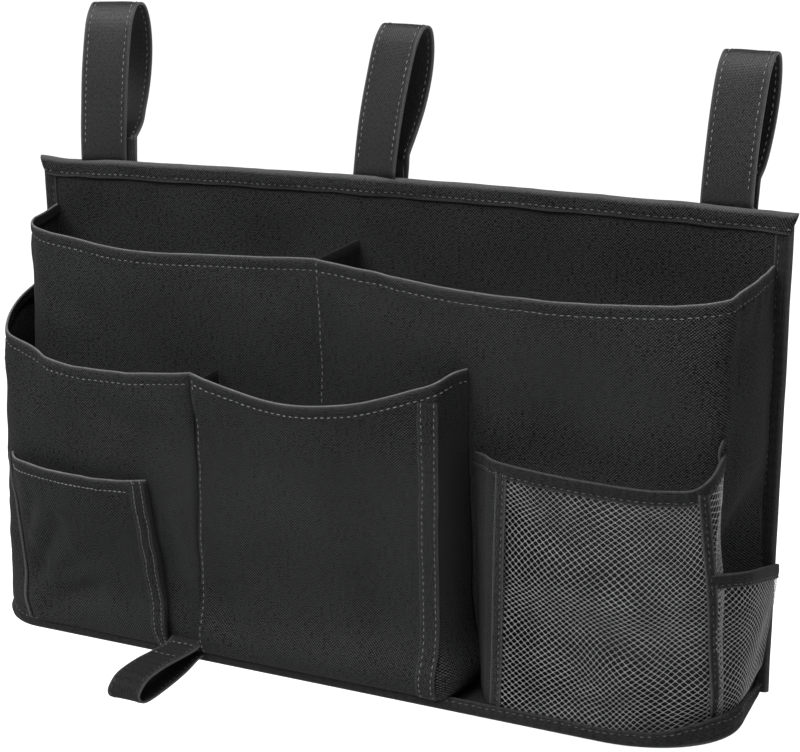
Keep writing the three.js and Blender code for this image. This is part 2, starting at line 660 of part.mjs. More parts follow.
// Hanging straps. Each is sewn down behind the hem, loops over the rail and closes behind the
// panel with hook tape on its tail against loop tape on the sewn-down end.
const strapFront = panelDepth + 2 * seamGap + hemCloth + strapThickness / 2;
const strapRoot = panelDepth + seamGap + strapThickness / 2;
const loopClosureFront = strapRoot + strapThickness / 2 + seamGap;
const hookClosureFront = loopClosureFront + closureThickness + seamGap;
const strapBack = hookClosureFront + closureThickness + seamGap + strapThickness / 2;
const loopShares = [
  [0, 0], [-0.04, 0.3], [-0.03, 0.6], [0.07, 0.86], [0.27, 0.97], [0.5, 1], [0.76, 0.965],
  [0.95, 0.84], [1, 0.66], [0.88, 0.44], [0.6, 0.26],
];
const loopTopShare = 5 / 11;
const loopSteps = 30;
const leanPowerShare = 1.2;
const straps = [
  { name: 'left', x: leftStrapX, height: leftStrapHeight, depth: leftStrapDepth,
    lean: leftStrapLean, shift: leftStrapShift },
  { name: 'middle', x: middleStrapX, height: middleStrapHeight, depth: middleStrapDepth,
    lean: middleStrapLean, shift: middleStrapShift },
  { name: 'right', x: rightStrapX, height: rightStrapHeight, depth: rightStrapDepth,
    lean: rightStrapLean, shift: rightStrapShift },
];

// The loop's line from the hem over the rail and down to the tail, as places [y, z].
function loopCurve(strap) {
  const hinge = hemTop(strap.x) + strapHemClearance;
  const knots = loopShares.map(([d, z]) => [strapFront + d * strap.depth, hinge + z * strap.height]);
  knots.push([strapBack + strapThickness / 4, closureRise]);
  const points = knots.map(([y, z]) => new THREE.Vector3(0, y, z));
  return new THREE.CatmullRomCurve3(points, false, 'catmullrom', splineTension);
}

// Places along a strap, the way it runs there and the share of the loop behind it, which stays 1
// down the straight tail.
function strapLine(strap, from, to) {
  const curve = loopCurve(strap);
  const steps = Math.round(loopSteps * (to - from));
  const line = [];
  for (let i = 0; i <= steps; i += 1) {
    const share = lerp(from, to, i / steps);
    line.push({ spot: curve.getPoint(share), along: curve.getTangent(share), share });
  }
  if (to === 1) {
    const along = new THREE.Vector3(0, 0, -1);
    line.push({ spot: new THREE.Vector3(0, strapBack, closureRise / 2), along, share: 1 });
    line.push({ spot: new THREE.Vector3(0, strapBack, -strapTailDrop), along, share: 1 });
  }
  return line;
}

// The loop leans over its height and is twisted, with its rearmost edge in line with the
// sewn-down end. Its tail turns flat near the hem and lands a little beside that end.
function strapPlace(strap, side, y, z, share) {
  const flat = share > loopTopShare ? smoothstep(z, closureRise / 3, 0.35 * strap.height) : 1;
  const turn = degToRad(strapTwistDegrees[strap.name]) * flat;
  const lean = strap.lean * (Math.max(z, 0) / strap.height) ** leanPowerShare;
  const shift = strap.shift * smoothstep(share, 0.4, 0.8);
  const back = y - strapFront;
  const x = strap.x + lean + shift + side * Math.cos(turn) - back * Math.sin(turn);
  const forward = side * Math.sin(turn) - 0.5 * strapWidth * Math.abs(Math.sin(turn));
  return new THREE.Vector3(x, strapFront + forward + back * Math.cos(turn), z);
}

function strapBand(strap, from, to) {
  const line = strapLine(strap, from, to);
  const sides = [-0.5, 0, 0.5].map((share) => share * strapWidth);
  const layers = [0.5, -0.5].map((face) => line.map(({ spot, along, share }) => {
    const lift = face * strapThickness;
    const y = spot.y - lift * along.z;
    const z = spot.z + lift * along.y;
    return sides.map((side) => strapPlace(strap, side, y, z, share));
  }));
  return shell(layers[0], layers[1]);
}

function closurePatch(x, front, low, high) {
  const geometry = new THREE.BoxGeometry(closureWidth, closureThickness, high - low);
  geometry.translate(x, front + closureThickness / 2, (high + low) / 2);
  return geometry;
}

// The sewn-down end steps in from the hem's rear face to the panel's.
function strapAnchor(strap) {
  const top = hemTop(strap.x) + strapHemClearance - seamGap;
  const hemFoot = hemTop(strap.x) - hemHeight;
  const line = [
    [strapFront, top], [strapFront, hemFoot - seamGap], [strapRoot, hemFoot - 2 * hemCloth],
    [strapRoot, -strapTailDrop],
  ];
  const layers = [0.5, -0.5].map((face) => line.map(([y, z]) => [-0.5, 0.5].map(
    (side) => new THREE.Vector3(strap.x + side * strapWidth, y + face * strapThickness, z))));
  return shell(layers[0], layers[1]);
}

for (const strap of straps) {
  const { name } = strap;
  const closureLow = closureMargin - strapTailDrop;
  const closureHigh = hemTop(strap.x) - hemHeight - 3 * hemCloth - closureMargin;
  const curve = loopCurve(strap);
  const pace = curve.getPoint(loopTopShare).distanceTo(curve.getPoint(loopTopShare + stepShare));
  const gapShare = stepShare * seamGap / pace;
  add(`${name}_strap_anchor`, strapAnchor(strap), webbing);
  add(`${name}_strap_loop_patch`, closurePatch(strap.x, loopClosureFront, closureLow, closureHigh), hookTape);
  add(`${name}_strap_front`, strapBand(strap, 0, loopTopShare - gapShare), webbing);
  add(`${name}_strap_tail`, strapBand(strap, loopTopShare + gapShare, 1), webbing);
  const hookPatch = closurePatch(strap.x + strap.shift, hookClosureFront, closureLow, closureRise / 3);
  add(`${name}_strap_hook_patch`, hookPatch, hookTape);
}

// Bottom strap: a folded loop sewn to the front of the base.
const footStrapFront = -(baseDepth + 2 * seamGap);
const footShares = [
  [0, 0.92], [0.1, 0.78], [0.3, 0.86], [0.6, 1.02], [0.85, 1], [0.97, 0.72], [1, 0.45],
  [0.95, 0.14], [0.8, 0], [0.55, 0], [0.28, 0.08], [0.1, 0.24], [0, 0.26],
];
function footStrap() {
  const level = floorUnder + footStrapThickness / 2 + seamGap;
  const knots = footShares.map(([reach, rise]) => new THREE.Vector3(
    -reach * footStrapSkew, footStrapFront - reach * footStrapReach, level + rise * footStrapLoop));
  const curve = new THREE.CatmullRomCurve3(knots, false, 'catmullrom', splineTension);
  const steps = 2 * (knots.length - 1);
  const layers = [0.5, -0.5].map((face) => {
    const rows = [];
    for (let i = 0; i <= steps; i += 1) {
      const spot = curve.getPoint(i / steps);
      const tangent = curve.getTangent(i / steps);
      const lift = new THREE.Vector3(0, -tangent.z, tangent.y).setLength(face * footStrapThickness);
      rows.push([-0.5, 0.5].map((side) => new THREE.Vector3(footStrapX + side * footStrapWidth, 0, 0)
        .add(spot).add(lift)));
    }
    return rows;
  });
  return shell(layers[0], layers[1]);
}
add('bottom_strap', footStrap(), webbing);

// The origin is the axis of the bed rail, midway along the caddy.
caddy.position.set(0, -railBehind, -railAbove);

export default caddy;
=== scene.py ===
"""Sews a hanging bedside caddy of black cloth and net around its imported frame."""

import json
import math
import random
from collections import namedtuple

import bmesh
import bpy
from bpy.props import FloatProperty, FloatVectorProperty, PointerProperty
from mathutils import Matrix, Vector, noise


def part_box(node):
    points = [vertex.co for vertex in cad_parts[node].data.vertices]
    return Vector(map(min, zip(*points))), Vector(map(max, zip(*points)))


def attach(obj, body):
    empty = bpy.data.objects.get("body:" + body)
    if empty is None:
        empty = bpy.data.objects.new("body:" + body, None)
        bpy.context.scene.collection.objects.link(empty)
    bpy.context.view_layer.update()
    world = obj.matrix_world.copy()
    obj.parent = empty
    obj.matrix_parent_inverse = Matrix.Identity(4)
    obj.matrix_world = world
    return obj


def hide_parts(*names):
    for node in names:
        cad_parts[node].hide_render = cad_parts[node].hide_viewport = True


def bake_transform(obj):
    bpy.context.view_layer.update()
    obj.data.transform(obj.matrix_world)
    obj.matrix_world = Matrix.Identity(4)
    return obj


bl_info = {
    "name": "Bedside Caddy",
    "version": (1, 0, 0),
    "blender": (4, 5, 0),
    "location": "3D View > Sidebar > Caddy",
    "description": "Sews a hanging bedside caddy of black cloth and net around its frame",
    "category": "Add Mesh",
}

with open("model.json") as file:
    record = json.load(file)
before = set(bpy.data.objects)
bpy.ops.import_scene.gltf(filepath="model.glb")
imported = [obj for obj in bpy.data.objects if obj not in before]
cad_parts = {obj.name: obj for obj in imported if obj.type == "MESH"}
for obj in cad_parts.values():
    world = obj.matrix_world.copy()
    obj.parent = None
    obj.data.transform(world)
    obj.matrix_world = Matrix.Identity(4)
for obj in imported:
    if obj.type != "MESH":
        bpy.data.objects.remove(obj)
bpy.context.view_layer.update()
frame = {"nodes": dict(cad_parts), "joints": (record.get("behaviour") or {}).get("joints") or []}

# Sizes are in millimetres. Drafting is done from the back panel: its front face is y = 0 and the
# top of its hem is z = 0. in_frame moves a place into the frame, in metres.
MM = 0.001
CADDY_HEIGHT = 290.0
RAIL_BEHIND = -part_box("back_cloth_front")[0].y / MM
RAIL_ABOVE = -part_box("base_cloth_under")[0].z / MM - CADDY_HEIGHT

HEM_LENGTH = 500.0
HEM_HALF = HEM_LENGTH / 2
PANEL_WIDTH = 494.0
PANEL_DEPTH = 3.7
BASE_WIDTH = 488.0
BASE_DEPTH = 96.0
TOP_RISE = 3.5
SEAM_GAP = 0.3
WALL_CLOTH = 1.2
HEM_HEIGHT = 11.0
HEM_SPREAD = 2.85
BINDING_WIDTH = 9.4
BINDING_SPREAD = 2.5
TAPE_WIDTH = 8.5
TAPE_THICKNESS = 1.6
TAPE_SPREAD = 0.72
BAND_HEIGHT = 11.0
FLOOR = -CADDY_HEIGHT
POCKET_FOOT = FLOOR + 4.9
BAND_LIP = FLOOR + 0.78 * BAND_HEIGHT

RIGHT_CORNER = (70.0, 50.0)
LEFT_CORNER = (34.0, 30.0)
FOOT_HALF = BASE_WIDTH / 2 - 3.0
FOOT_FRONT = BASE_DEPTH - 3.0

REAR_DEPTH = 60.0
REAR_SIDE_X = 239.0
REAR_MOUTH_DROP = 34.0
REAR_SEAM_X = -17.0
REAR_BELLY_LEFT = 5.0
REAR_BELLY_RIGHT = 13.0
SIDE_ROOM = 21.0
REAR_END = -1.7

FRONT_MOUTH_DROP = 103.0
FRONT_SEAM_X = -83.0
FRONT_CROWN = 6.0
FRONT_SEAM_LEAN = 2.0
LEFT_SIDE_BELLY = 3.0
CENTRE_CORNER_X = 75.0
CENTRE_END_X = 84.0
CENTRE_STRIP_WIDTH = 12.0

PATCH_MOUTH_DROP = 175.0
PATCH_CORNER_TOP_X = -227.0
PATCH_CORNER_FOOT_X = -214.0
PATCH_TOP_X = -119.5
PATCH_FOOT_X = -105.0
PATCH_BELLY = 9.0
PATCH_LIFT = 1.5
PATCH_STRIP_WIDTH = 9.0

NET_MOUTH_DROP = 134.0
NET_START_X = 88.0
NET_SIDE_X = 113.0
NET_CORNER_X = 222.0
NET_CORNER_INSET = 2.4
NET_CROWN = 3.0
NET_SIDE_BELLY = 8.0
CORNER_TAPE_WIDTH = 6.0
SIDE_MOUTH_FRONT = 184.0
SIDE_MOUTH_BACK = 206.0
SIDE_BELLY = 7.0
SIDE_SPREAD = 3.0

STRAP_WIDTH = 31.0
STRAP_THICKNESS = 1.5
STRAP_TAIL_DROP = 78.0
STRAP_FRONT = 6.3
STRAP_ROOT = 4.8
STRAP_BACK = 9.9
STRAP_CLEARANCE = 1.4
CLOSURE_RISE = 17.0
CLOSURE_WIDTH = 27.0
CLOSURE_THICKNESS = 1.2
LOOP_TAPE_DEPTH = 6.0
HOOK_TAPE_DEPTH = 8.0

FOOT_STRAP_WIDTH = 22.0
FOOT_STRAP_X = -94.0
FOOT_STRAP_REACH = 68.0
FOOT_STRAP_LOOP = 14.0
FOOT_STRAP_SKEW = 3.0
HANG_ROOM = 260.0

# Hems of the pocket mouths: cloth turned in, the stitch line under the fold, and the fold itself
HEM_TURN = 8.6
HEM_STITCH = 7.0
HEM_ZONE = 15.0
FOLD = 0.5

# Stitch lines: how far in they lie, and how far their thread stands off the cloth
BINDING_STITCH = 2.2
TOP_HEM_STITCH = 8.4
TAPE_STITCH = 6.6
CENTRE_STRIP_STITCH = 3.8
STRAP_STITCH = 3.2
FOOT_STRAP_STITCH = 2.4
STITCH_LIFT = 0.25
TAPE_STITCH_LIFT = 1.05
STRAP_STITCH_LIFT = 1.0
FOOT_STRAP_STITCH_LIFT = 0.7

UP = Vector((0.0, 0.0, 1.0))
FORWARD = Vector((0.0, -1.0, 0.0))
WEAVE = "weave"
WEAR_AND_HIGHLIGHT = "wear"

Strap = namedtuple("Strap", "name x height depth lean shift twist")
STRAPS = (
    Strap("left", -201.5, 98.0, 31.0, 10.0, 5.0, 12.0),
    Strap("middle", -7.7, 88.5, 17.0, 16.0, 4.0, -12.0),
    Strap("right", 209.0, 83.0, 18.0, 6.5, 1.0, -9.0),
)

Wall = namedtuple("Wall", "at foot mouth")


def in_frame(spot):
    return Vector((spot[0], spot[1] - RAIL_BEHIND, spot[2] - RAIL_ABOVE)) * MM


def lerp(low, high, share):
    return low + (high - low) * share


def clamp(value, low=0.0, high=1.0):
    return min(max(value, low), high)


def smoothstep(value, low, high):
    share = clamp((value - low) / (high - low))
    return share * share * (3 - 2 * share)


def bell(share):
    return math.sin(math.pi * clamp(share))


def bump(value, middle, width):
    return math.exp(-(((value - middle) / width) ** 2))


def shares(count):
    return [i / count for i in range(count + 1)]


def hem_top(x):
    return TOP_RISE * (1 - (2 * x / HEM_LENGTH) ** 2)


def spline(knots, share):
    """A place on the smooth line through the knots, for a share of its run."""
    last = len(knots) - 1
    spot = clamp(share) * last
    start = min(int(spot), last - 1)
    t = spot - start
    p1 = knots[start]
    p2 = knots[start + 1]
    p0 = knots[start - 1] if start > 0 else 2 * p1 - p2
    p3 = knots[start + 2] if start + 2 <= last else 2 * p2 - p1
    v1 = (p2 - p0) / 2
    v2 = (p3 - p1) / 2
    cubic = 2 * p1 - 2 * p2 + v1 + v2
    square = -3 * p1 + 3 * p2 - 2 * v1 - v2
    return ((cubic * t + square) * t + v1) * t + p1


def skin(plan):
    """A curved cloth surface. plan(h) lists its knots [x, y, drop] for a share h of its height."""
    steps = 48
    known = {}

    def knots_at(step):
        if step not in known:
            known[step] = [Vector((x, y, -drop)) for x, y, drop in plan(step / steps)]
        return known[step]

    def surface(u, h):
        spot = clamp(h) * steps
        step = min(int(spot), steps - 1)
        place = spline(knots_at(step), u).lerp(spline(knots_at(step + 1), u), spot - step)
        place.z = lerp(POCKET_FOOT, place.z, h)
        return place

    return surface


def facing(surface, u, h):
    """The way that a skin looks."""
    step = 0.006
    along = surface(min(u + step, 1), h) - surface(max(u - step, 0), h)
    up = surface(u, min(h + step, 1)) - surface(u, max(h - step, 0))
    return along.cross(up).normalized()


def level_share(surface, u, level):
    """Share of the skin's height at which it passes a level."""
    return clamp((level - POCKET_FOOT) / (surface(u, 1).z - POCKET_FOOT))


def run_at(surface, x, h, low, high):
    """Share of the skin's run at which it passes x."""
    rising_x = surface(high, h).x > surface(low, h).x
    for _turn in range(24):
        middle = (low + high) / 2
        if (surface(middle, h).x < x) == rising_x:
            low = middle
        else:
            high = middle
    return (low + high) / 2


def corner_foot(side, angle_share):
    width, depth = RIGHT_CORNER if side > 0 else LEFT_CORNER
    angle = angle_share * math.pi / 2
    x = side * (FOOT_HALF - width + width * math.cos(angle))
    return [x, -(FOOT_FRONT - depth + depth * math.sin(angle))]


def rising(foot, mouth, h):
    return [lerp(foot[0], mouth[0], h), lerp(foot[1], mouth[1], h), mouth[2]]


# The skins of the pockets, as in the frame
def rear_left_plan(h):
    belly = REAR_BELLY_LEFT * bell(0.35 + 0.4 * h)
    span = REAR_SIDE_X + REAR_SEAM_X
    side = REAR_SIDE_X
    depth = REAR_DEPTH
    drop = REAR_MOUTH_DROP
    return [
        rising([-side, REAR_END], [-side, REAR_END, 0.86 * drop], h),
        rising([-side, -0.5 * depth], [-0.967 * side, -0.55 * depth, 0.9 * drop], h),
        rising([-0.955 * side, -0.86 * depth], [-0.911 * side, -0.9 * depth, 0.92 * drop], h),
        rising([-0.86 * side, -0.97 * depth], [-0.8 * side, -depth - 0.6 * belly, drop], h),
        rising([REAR_SEAM_X - 0.5 * span, -depth],
               [REAR_SEAM_X - 0.5 * span, -depth - belly, 1.15 * drop], h),
        rising([REAR_SEAM_X, -depth], [REAR_SEAM_X, -depth, drop], h),
    ]


def rear_right_plan(h):
    belly = REAR_BELLY_RIGHT * bell(0.25 + 0.45 * h)
    push = SIDE_ROOM * bell(h / 0.6) ** 2
    span = REAR_SIDE_X - REAR_SEAM_X
    depth = REAR_DEPTH
    drop = REAR_MOUTH_DROP

    def at(share):
        return REAR_SEAM_X + share * span

    return [
        rising([REAR_SEAM_X, -depth], [REAR_SEAM_X, -depth, drop], h),
        rising([at(0.25), -depth], [at(0.25), -depth - 0.7 * belly, 1.18 * drop], h),
        rising([at(0.52), -depth], [at(0.52), -depth - belly, 1.27 * drop], h),
        rising([at(0.8), -depth], [at(0.8), -depth - 0.8 * belly, 1.2 * drop], h),
        rising([at(0.925), -0.99 * depth], [at(0.95), -1.13 * depth, 1.02 * drop], h),
        rising([at(0.96) - 0.3 * push, -0.87 * depth],
               [at(0.975) - 0.3 * push, -0.88 * depth, 0.95 * drop], h),
        rising([REAR_SIDE_X - push, -0.45 * depth],
               [0.99 * REAR_SIDE_X - push, -0.45 * depth, 0.88 * drop], h),
        rising([REAR_SIDE_X, REAR_END], [REAR_SIDE_X, REAR_END, 0.86 * drop], h),
    ]


rear_left = skin(rear_left_plan)
rear_right = skin(rear_right_plan)
REAR_SEAM_SHARE = 0.42


def rear_surface(u, h):
    """The rear pocket's wall from edge to edge, with its seam at REAR_SEAM_SHARE."""
    if u < REAR_SEAM_SHARE:
        return rear_left(u / REAR_SEAM_SHARE, h)
    return rear_right((u - REAR_SEAM_SHARE) / (1 - REAR_SEAM_SHARE), h)


def rear_face(x, level):
    """How far forward the rear pocket's face lies."""
    if x < REAR_SEAM_X:
        surface, low, high = rear_left, 0.6, 1.0
    else:
        surface, low, high = rear_right, 0.0, 0.62
    h = 0.5
    u = 0.5
    for _turn in range(6):
        u = run_at(surface, x, h, low, high)
        h = level_share(surface, u, level)
    return surface(u, h).y - WALL_CLOTH / 2


def end_on_rear(x, drop, h):
    return rear_face(x, lerp(POCKET_FOOT, -drop, h)) - 2 * SEAM_GAP


def left_plan(h):
    press = 0.35 * PATCH_BELLY * bell(h / 0.8)
    side = FOOT_HALF + LEFT_SIDE_BELLY * bell(0.5 * h + 0.25)
    depth = BASE_DEPTH
    drop = FRONT_MOUTH_DROP
    front = -FOOT_FRONT
    return [
        rising([-FOOT_HALF, -0.17 * depth], [-side, -0.17 * depth, 0.75 * drop], h),
        rising([-FOOT_HALF, -0.42 * depth], [-side, -0.42 * depth, 0.82 * drop], h),
        rising(corner_foot(-1, 0.05), [-0.985 * side, -0.62 * depth, 0.9 * drop], h),
        rising(corner_foot(-1, 0.5), [-0.945 * side, -0.78 * depth, 0.95 * drop], h),
        rising(corner_foot(-1, 0.95), [-0.86 * side, -0.87 * depth, 0.98 * drop], h),
        rising([-0.745 * FOOT_HALF, front],
               [-0.73 * side, press + front - 0.2 * FRONT_CROWN, 1.03 * drop], h),
        rising([-0.54 * FOOT_HALF, front],
               [-0.53 * side, press + front - 0.7 * FRONT_CROWN, 1.035 * drop], h),
        rising([FRONT_SEAM_X, front], [FRONT_SEAM_X, front - FRONT_SEAM_LEAN, 0.985 * drop], h),
    ]


def centre_plan(h):
    crown = FRONT_CROWN
    front = -FOOT_FRONT
    drop = FRONT_MOUTH_DROP
    corner = CENTRE_CORNER_X
    turn_x = 0.4 * corner + 0.6 * CENTRE_END_X
    return [
        rising([FRONT_SEAM_X, front], [FRONT_SEAM_X, front - FRONT_SEAM_LEAN, 0.985 * drop], h),
        rising([0.66 * FRONT_SEAM_X, front],
               [0.67 * FRONT_SEAM_X, front - 0.7 * crown, 1.05 * drop], h),
        rising([0.2 * FRONT_SEAM_X, front], [0.23 * FRONT_SEAM_X, front - crown, 1.085 * drop], h),
        rising([0.4 * corner, front], [0.32 * corner, front - crown, 1.035 * drop], h),
        rising([0.8 * corner, front], [0.8 * corner, front - 0.6 * crown, 0.925 * drop], h),
        rising([corner, front], [corner, front - FRONT_SEAM_LEAN, 0.87 * drop], h),
        rising([turn_x, 0.87 * front], [turn_x, 0.87 * front, 0.845 * drop], h),
        [CENTRE_END_X, end_on_rear(CENTRE_END_X, 0.845 * drop, h), 0.845 * drop],
    ]


def divider_plan(x, drop, front_at, rear_at):
    def plan(h):
        rear = rear_at(h)
        front = front_at(h)
        return [[x, rear, drop], [x, (rear + front) / 2, drop], [x, front, drop]]

    return plan


# Places along a skin, as shares of the steps between its knots
CENTRE_CORNER_SHARE = 5 / 7
NET_END_SHARE = 4.4 / 7


def net_plan(h):
    front = -FOOT_FRONT
    drop = NET_MOUTH_DROP
    level = lerp(POCKET_FOOT, -0.9 * drop, h)
    height = level_share(rear_right, NET_END_SHARE, level)
    end = rear_right(NET_END_SHARE, height) + facing(rear_right, NET_END_SHARE, height) * 1.8
    bulge = NET_SIDE_BELLY * bell(h / 0.95)

    def inset(angle_share):
        x, y = corner_foot(1, angle_share)
        return [x - NET_CORNER_INSET, y + NET_CORNER_INSET]

    turn_x = lerp(NET_START_X, NET_SIDE_X, 0.4)
    return [
        [NET_START_X, end_on_rear(NET_START_X, drop, h), 1.02 * drop],
        rising([turn_x, 0.85 * front], [turn_x, 0.85 * front, drop], h),
        rising([0.965 * NET_SIDE_X, 0.98 * front], [NET_SIDE_X, front, 0.985 * drop], h),
        rising([1.33 * NET_SIDE_X, front], [1.33 * NET_SIDE_X, front - NET_CROWN, drop], h),
        rising([1.62 * NET_SIDE_X, 0.995 * front],
               [1.68 * NET_SIDE_X, front - 0.7 * NET_CROWN, 1.01 * drop], h),
        rising(inset(0.66), [1.85 * NET_SIDE_X, front, 1.005 * drop], h),
        rising(inset(0.4), [NET_CORNER_X, 0.975 * front, 0.99 * drop], h),
        rising(inset(0.2), [1.035 * NET_CORNER_X + 0.7 * bulge, 0.92 * front, 0.94 * drop], h),
        [end.x, end.y, 0.9 * drop],
    ]


left_surface = skin(left_plan)
centre_surface = skin(centre_plan)
net_surface = skin(net_plan)
NET_GUSSET_SHARE = 2 / 8
NET_TAPE_SHARE = 6.45 / 8


def side_plan(h):
    level = lerp(POCKET_FOOT, -SIDE_MOUTH_FRONT, h)
    height = level_share(net_surface, NET_TAPE_SHARE, level)
    start = net_surface(NET_TAPE_SHARE, height)
    start = start + facing(net_surface, NET_TAPE_SHARE, height) * (TAPE_THICKNESS + SEAM_GAP)
    belly = SIDE_BELLY * bell(h / 1.3)
    fall = SIDE_MOUTH_BACK - SIDE_MOUTH_FRONT
    side = FOOT_HALF + SIDE_SPREAD * smoothstep(h, 0.05, 0.2)
    drop = SIDE_MOUTH_FRONT
    return [
        [start.x, start.y, drop],
        rising(corner_foot(1, 0.08), [1.02 * FOOT_HALF, -0.66 * BASE_DEPTH, drop + 0.12 * fall], h),
        rising([side, -0.36 * BASE_DEPTH],
               [side + belly, -0.36 * BASE_DEPTH, drop + 0.5 * fall], h),
        rising([side, REAR_END],
               [side + 0.5 * belly + 3.5 * smoothstep(h, 0.05, 0.3), REAR_END, SIDE_MOUTH_BACK], h),
    ]


side_surface = skin(side_plan)


def patch_wall(lift_of_left):
    """The patch pocket's wall, off the left pocket's front with its folds, as a Wall."""
    start_top = run_at(left_surface, PATCH_CORNER_TOP_X, 0.6, 0.3, 0.8)
    start_foot = run_at(left_surface, PATCH_CORNER_FOOT_X, 0, 0.3, 0.8)
    end_top = run_at(left_surface, PATCH_TOP_X, 0.6, 0.5, 1)
    end_foot = run_at(left_surface, PATCH_FOOT_X, 0, 0.5, 1)

    def at(a, level):
        b = clamp((level - BAND_LIP) / (-PATCH_MOUTH_DROP - BAND_LIP))
        start = lerp(start_foot, start_top, b)
        u = lerp(start, lerp(end_foot, end_top, b), a)
        h = level_share(left_surface, u, level)
        spot = left_surface(u, h)
        lift = lerp(0.75, PATCH_LIFT, smoothstep(b, 0.02, 0.12) * smoothstep(a, 0.0, 0.06))
        lift += lift_of_left(spot)
        lift += PATCH_BELLY * bell(a) * smoothstep(b, 0.02, 0.5)
        return spot + facing(left_surface, u, h) * lift

    return Wall(at, lambda a: BAND_LIP - 1.5, lambda a: -PATCH_MOUTH_DROP)


def wall_of(surface, mouth_under=0.0):
    """A skin as a Wall, which is asked for places by level instead of height share."""

    def at(u, level):
        return surface(u, level_share(surface, u, level))

    return Wall(at, lambda u: POCKET_FOOT, lambda u: surface(u, 1).z - mouth_under)


def dress(wall, drape):
    """The wall with its folds: a place and the way it faces, for a run share and a level."""

    def dressed(u, level, rise=0.0):
        step = 0.004
        along = wall.at(min(u + step, 1), level) - wall.at(max(u - step, 0), level)
        up = wall.at(u, level + 1.5) - wall.at(u, level - 1.5)
        out = along.cross(up).normalized()
        spot = wall.at(u, level)
        return spot + out * (drape(spot) + rise), out

    return dressed


def folds(seed, broad=1.0, fine=0.35, creases=(), sag=0.0):
    """Soft folds of hanging cloth, as a lift for a place. A crease is (x, z) twice, a width and
    a depth: a valley from the first point to the second. The cloth sags out over the band."""
    shift = Vector((seed * 17.3, seed * 5.1, seed * 9.7))

    def lift(spot):
        height = smoothstep(spot.z, FLOOR + 5, FLOOR + 40)
        wide = noise.noise(Vector((spot.x / 62, spot.y / 62, spot.z / 80)) + shift)
        tilted = spot.x * 0.8 + spot.z * 0.6
        slim = noise.noise(Vector((tilted / 17, spot.y / 40, (spot.z - spot.x) / 55)) + shift)
        pulled = 0.5 - abs(slim)
        total = (broad * wide + fine * pulled) * lerp(0.05, 1.0, height)
        total += sag * bump(spot.z, FLOOR + 18, 14) * smoothstep(spot.z, FLOOR + 3, FLOOR + 9)
        for (x0, z0), (x1, z1), width, depth in creases:
            way = Vector((x1 - x0, z1 - z0))
            share = clamp(Vector((spot.x - x0, spot.z - z0)).dot(way) / way.length_squared)
            foot = Vector((x0, z0)) + way * share
            away = (Vector((spot.x, spot.z)) - foot).length
            valley = depth * math.exp(-((away / width) ** 2)) * (0.35 + 0.65 * bell(share))
            total -= valley * smoothstep(spot.z, FLOOR + 5, FLOOR + 16)
        return total

    return lift


LEFT_CREASES = (
    ((-241, -278), (-236, -255), 7, 2.2),
    ((-124, -160), (-92, -262), 10, 5.2),
    ((-112, -225), (-86, -284), 6, 3.0),
    ((-160, -128), (-100, -150), 10, 3.4),
    ((-212, -115), (-170, -150), 9, 2.8),
    ((FRONT_SEAM_X, -95), (FRONT_SEAM_X, -300), 3.2, 1.2),
)
hanging_left = folds(2, 3.4, 2.4, LEFT_CREASES, 2.6)


def left_folds(spot):
    """The left pocket's folds, and the swell of its side."""
    side = smoothstep(-spot.x, 226, 241)
    swell = 4.5 * bump(spot.z, -238, 45) - 2.8 * bump(spot.z, -132, 40)
    return hanging_left(spot) + side * swell


def arc_lengths(places):
    total = [0.0]
    for before, after in zip(places, places[1:]):
        total.append(total[-1] + (after - before).length)
    return total


# Making meshes
def finish_piece(name, bm, material, thickness=0.0, body="root"):
    """Turns a bmesh into a piece of the caddy, with a wall of that thickness in millimetres."""
    mesh = bpy.data.meshes.new(name)
    bm.to_mesh(mesh)
    bm.free()
    mesh.shade_smooth()
    mesh.materials.append(material)
    piece = bpy.data.objects.new(name, mesh)
    bpy.context.scene.collection.objects.link(piece)
    if thickness:
        wall = piece.modifiers.new("cloth thickness", "SOLIDIFY")
        wall.thickness = thickness * MM
        wall.offset = 0
    if body:
        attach(piece, body)
    return piece


def cloth_grid(columns, rows, place, out=None):
    """A grid of cloth. place(i, j) gives a vertex in millimetres, its spot on the flat cloth and
    how far it is lightened, by abrasion and a painted highlight. out, where given, is the way that
    its first faces look."""
    bm = bmesh.new()
    bmesh.ops.create_grid(bm, x_segments=columns, y_segments=rows, size=0.5)
    bm.verts.index_update()
    weave = bm.loops.layers.uv.new(WEAVE)
    wear = bm.verts.layers.float.new(WEAR_AND_HIGHLIGHT)
    flat = {}
    for vertex in bm.verts:
        i = round((vertex.co.x + 0.5) * columns)
        j = round((vertex.co.y + 0.5) * rows)
        spot, across, up, worn_and_highlit = place(i, j)
        vertex.co = in_frame(spot)
        vertex[wear] = worn_and_highlit
        flat[vertex.index] = (across * MM, up * MM)
    for face in bm.faces:
        for loop in face.loops:
            loop[weave].uv = flat[loop.vert.index]
    bm.normal_update()
    bm.faces.ensure_lookup_table()
    if out is not None and bm.faces[0].normal.dot(out) < 0:
        bmesh.ops.reverse_faces(bm, faces=bm.faces)
    return bm


def hem_rows(plain_rows):
    """Rows of a wall, from its foot over its fold to the end of the turned-in hem. Each row is a
    share of the plain height or a depth under the mouth, then how far in it is and how far it is
    lightened, by abrasion and a painted highlight at the fold."""
    rows = [((i / plain_rows) ** 1.35, None, 0.0, 0.0) for i in range(plain_rows)]
    depth = HEM_ZONE
    while depth > FOLD + 0.4:
        # Lightened near the fold: abrasion and a painted highlight.
        rows.append((None, depth, 0.0, 0.2 * bump(depth, FOLD, 0.8)))
        depth -= 1.05
    for turn in shares(6):
        angle = math.pi * turn
        # The fold's apex is lightened most: abrasion and a painted highlight.
        worn_and_highlit = 0.15 + 0.6 * math.sin(angle)
        rows.append((None, FOLD * (1 - math.sin(angle)), FOLD * (1 - math.cos(angle)), worn_and_highlit))
    depth = FOLD + 1.0
    while depth < HEM_TURN:
        rows.append((None, depth, 2 * FOLD, 0.0))
        depth += 1.9
    return rows


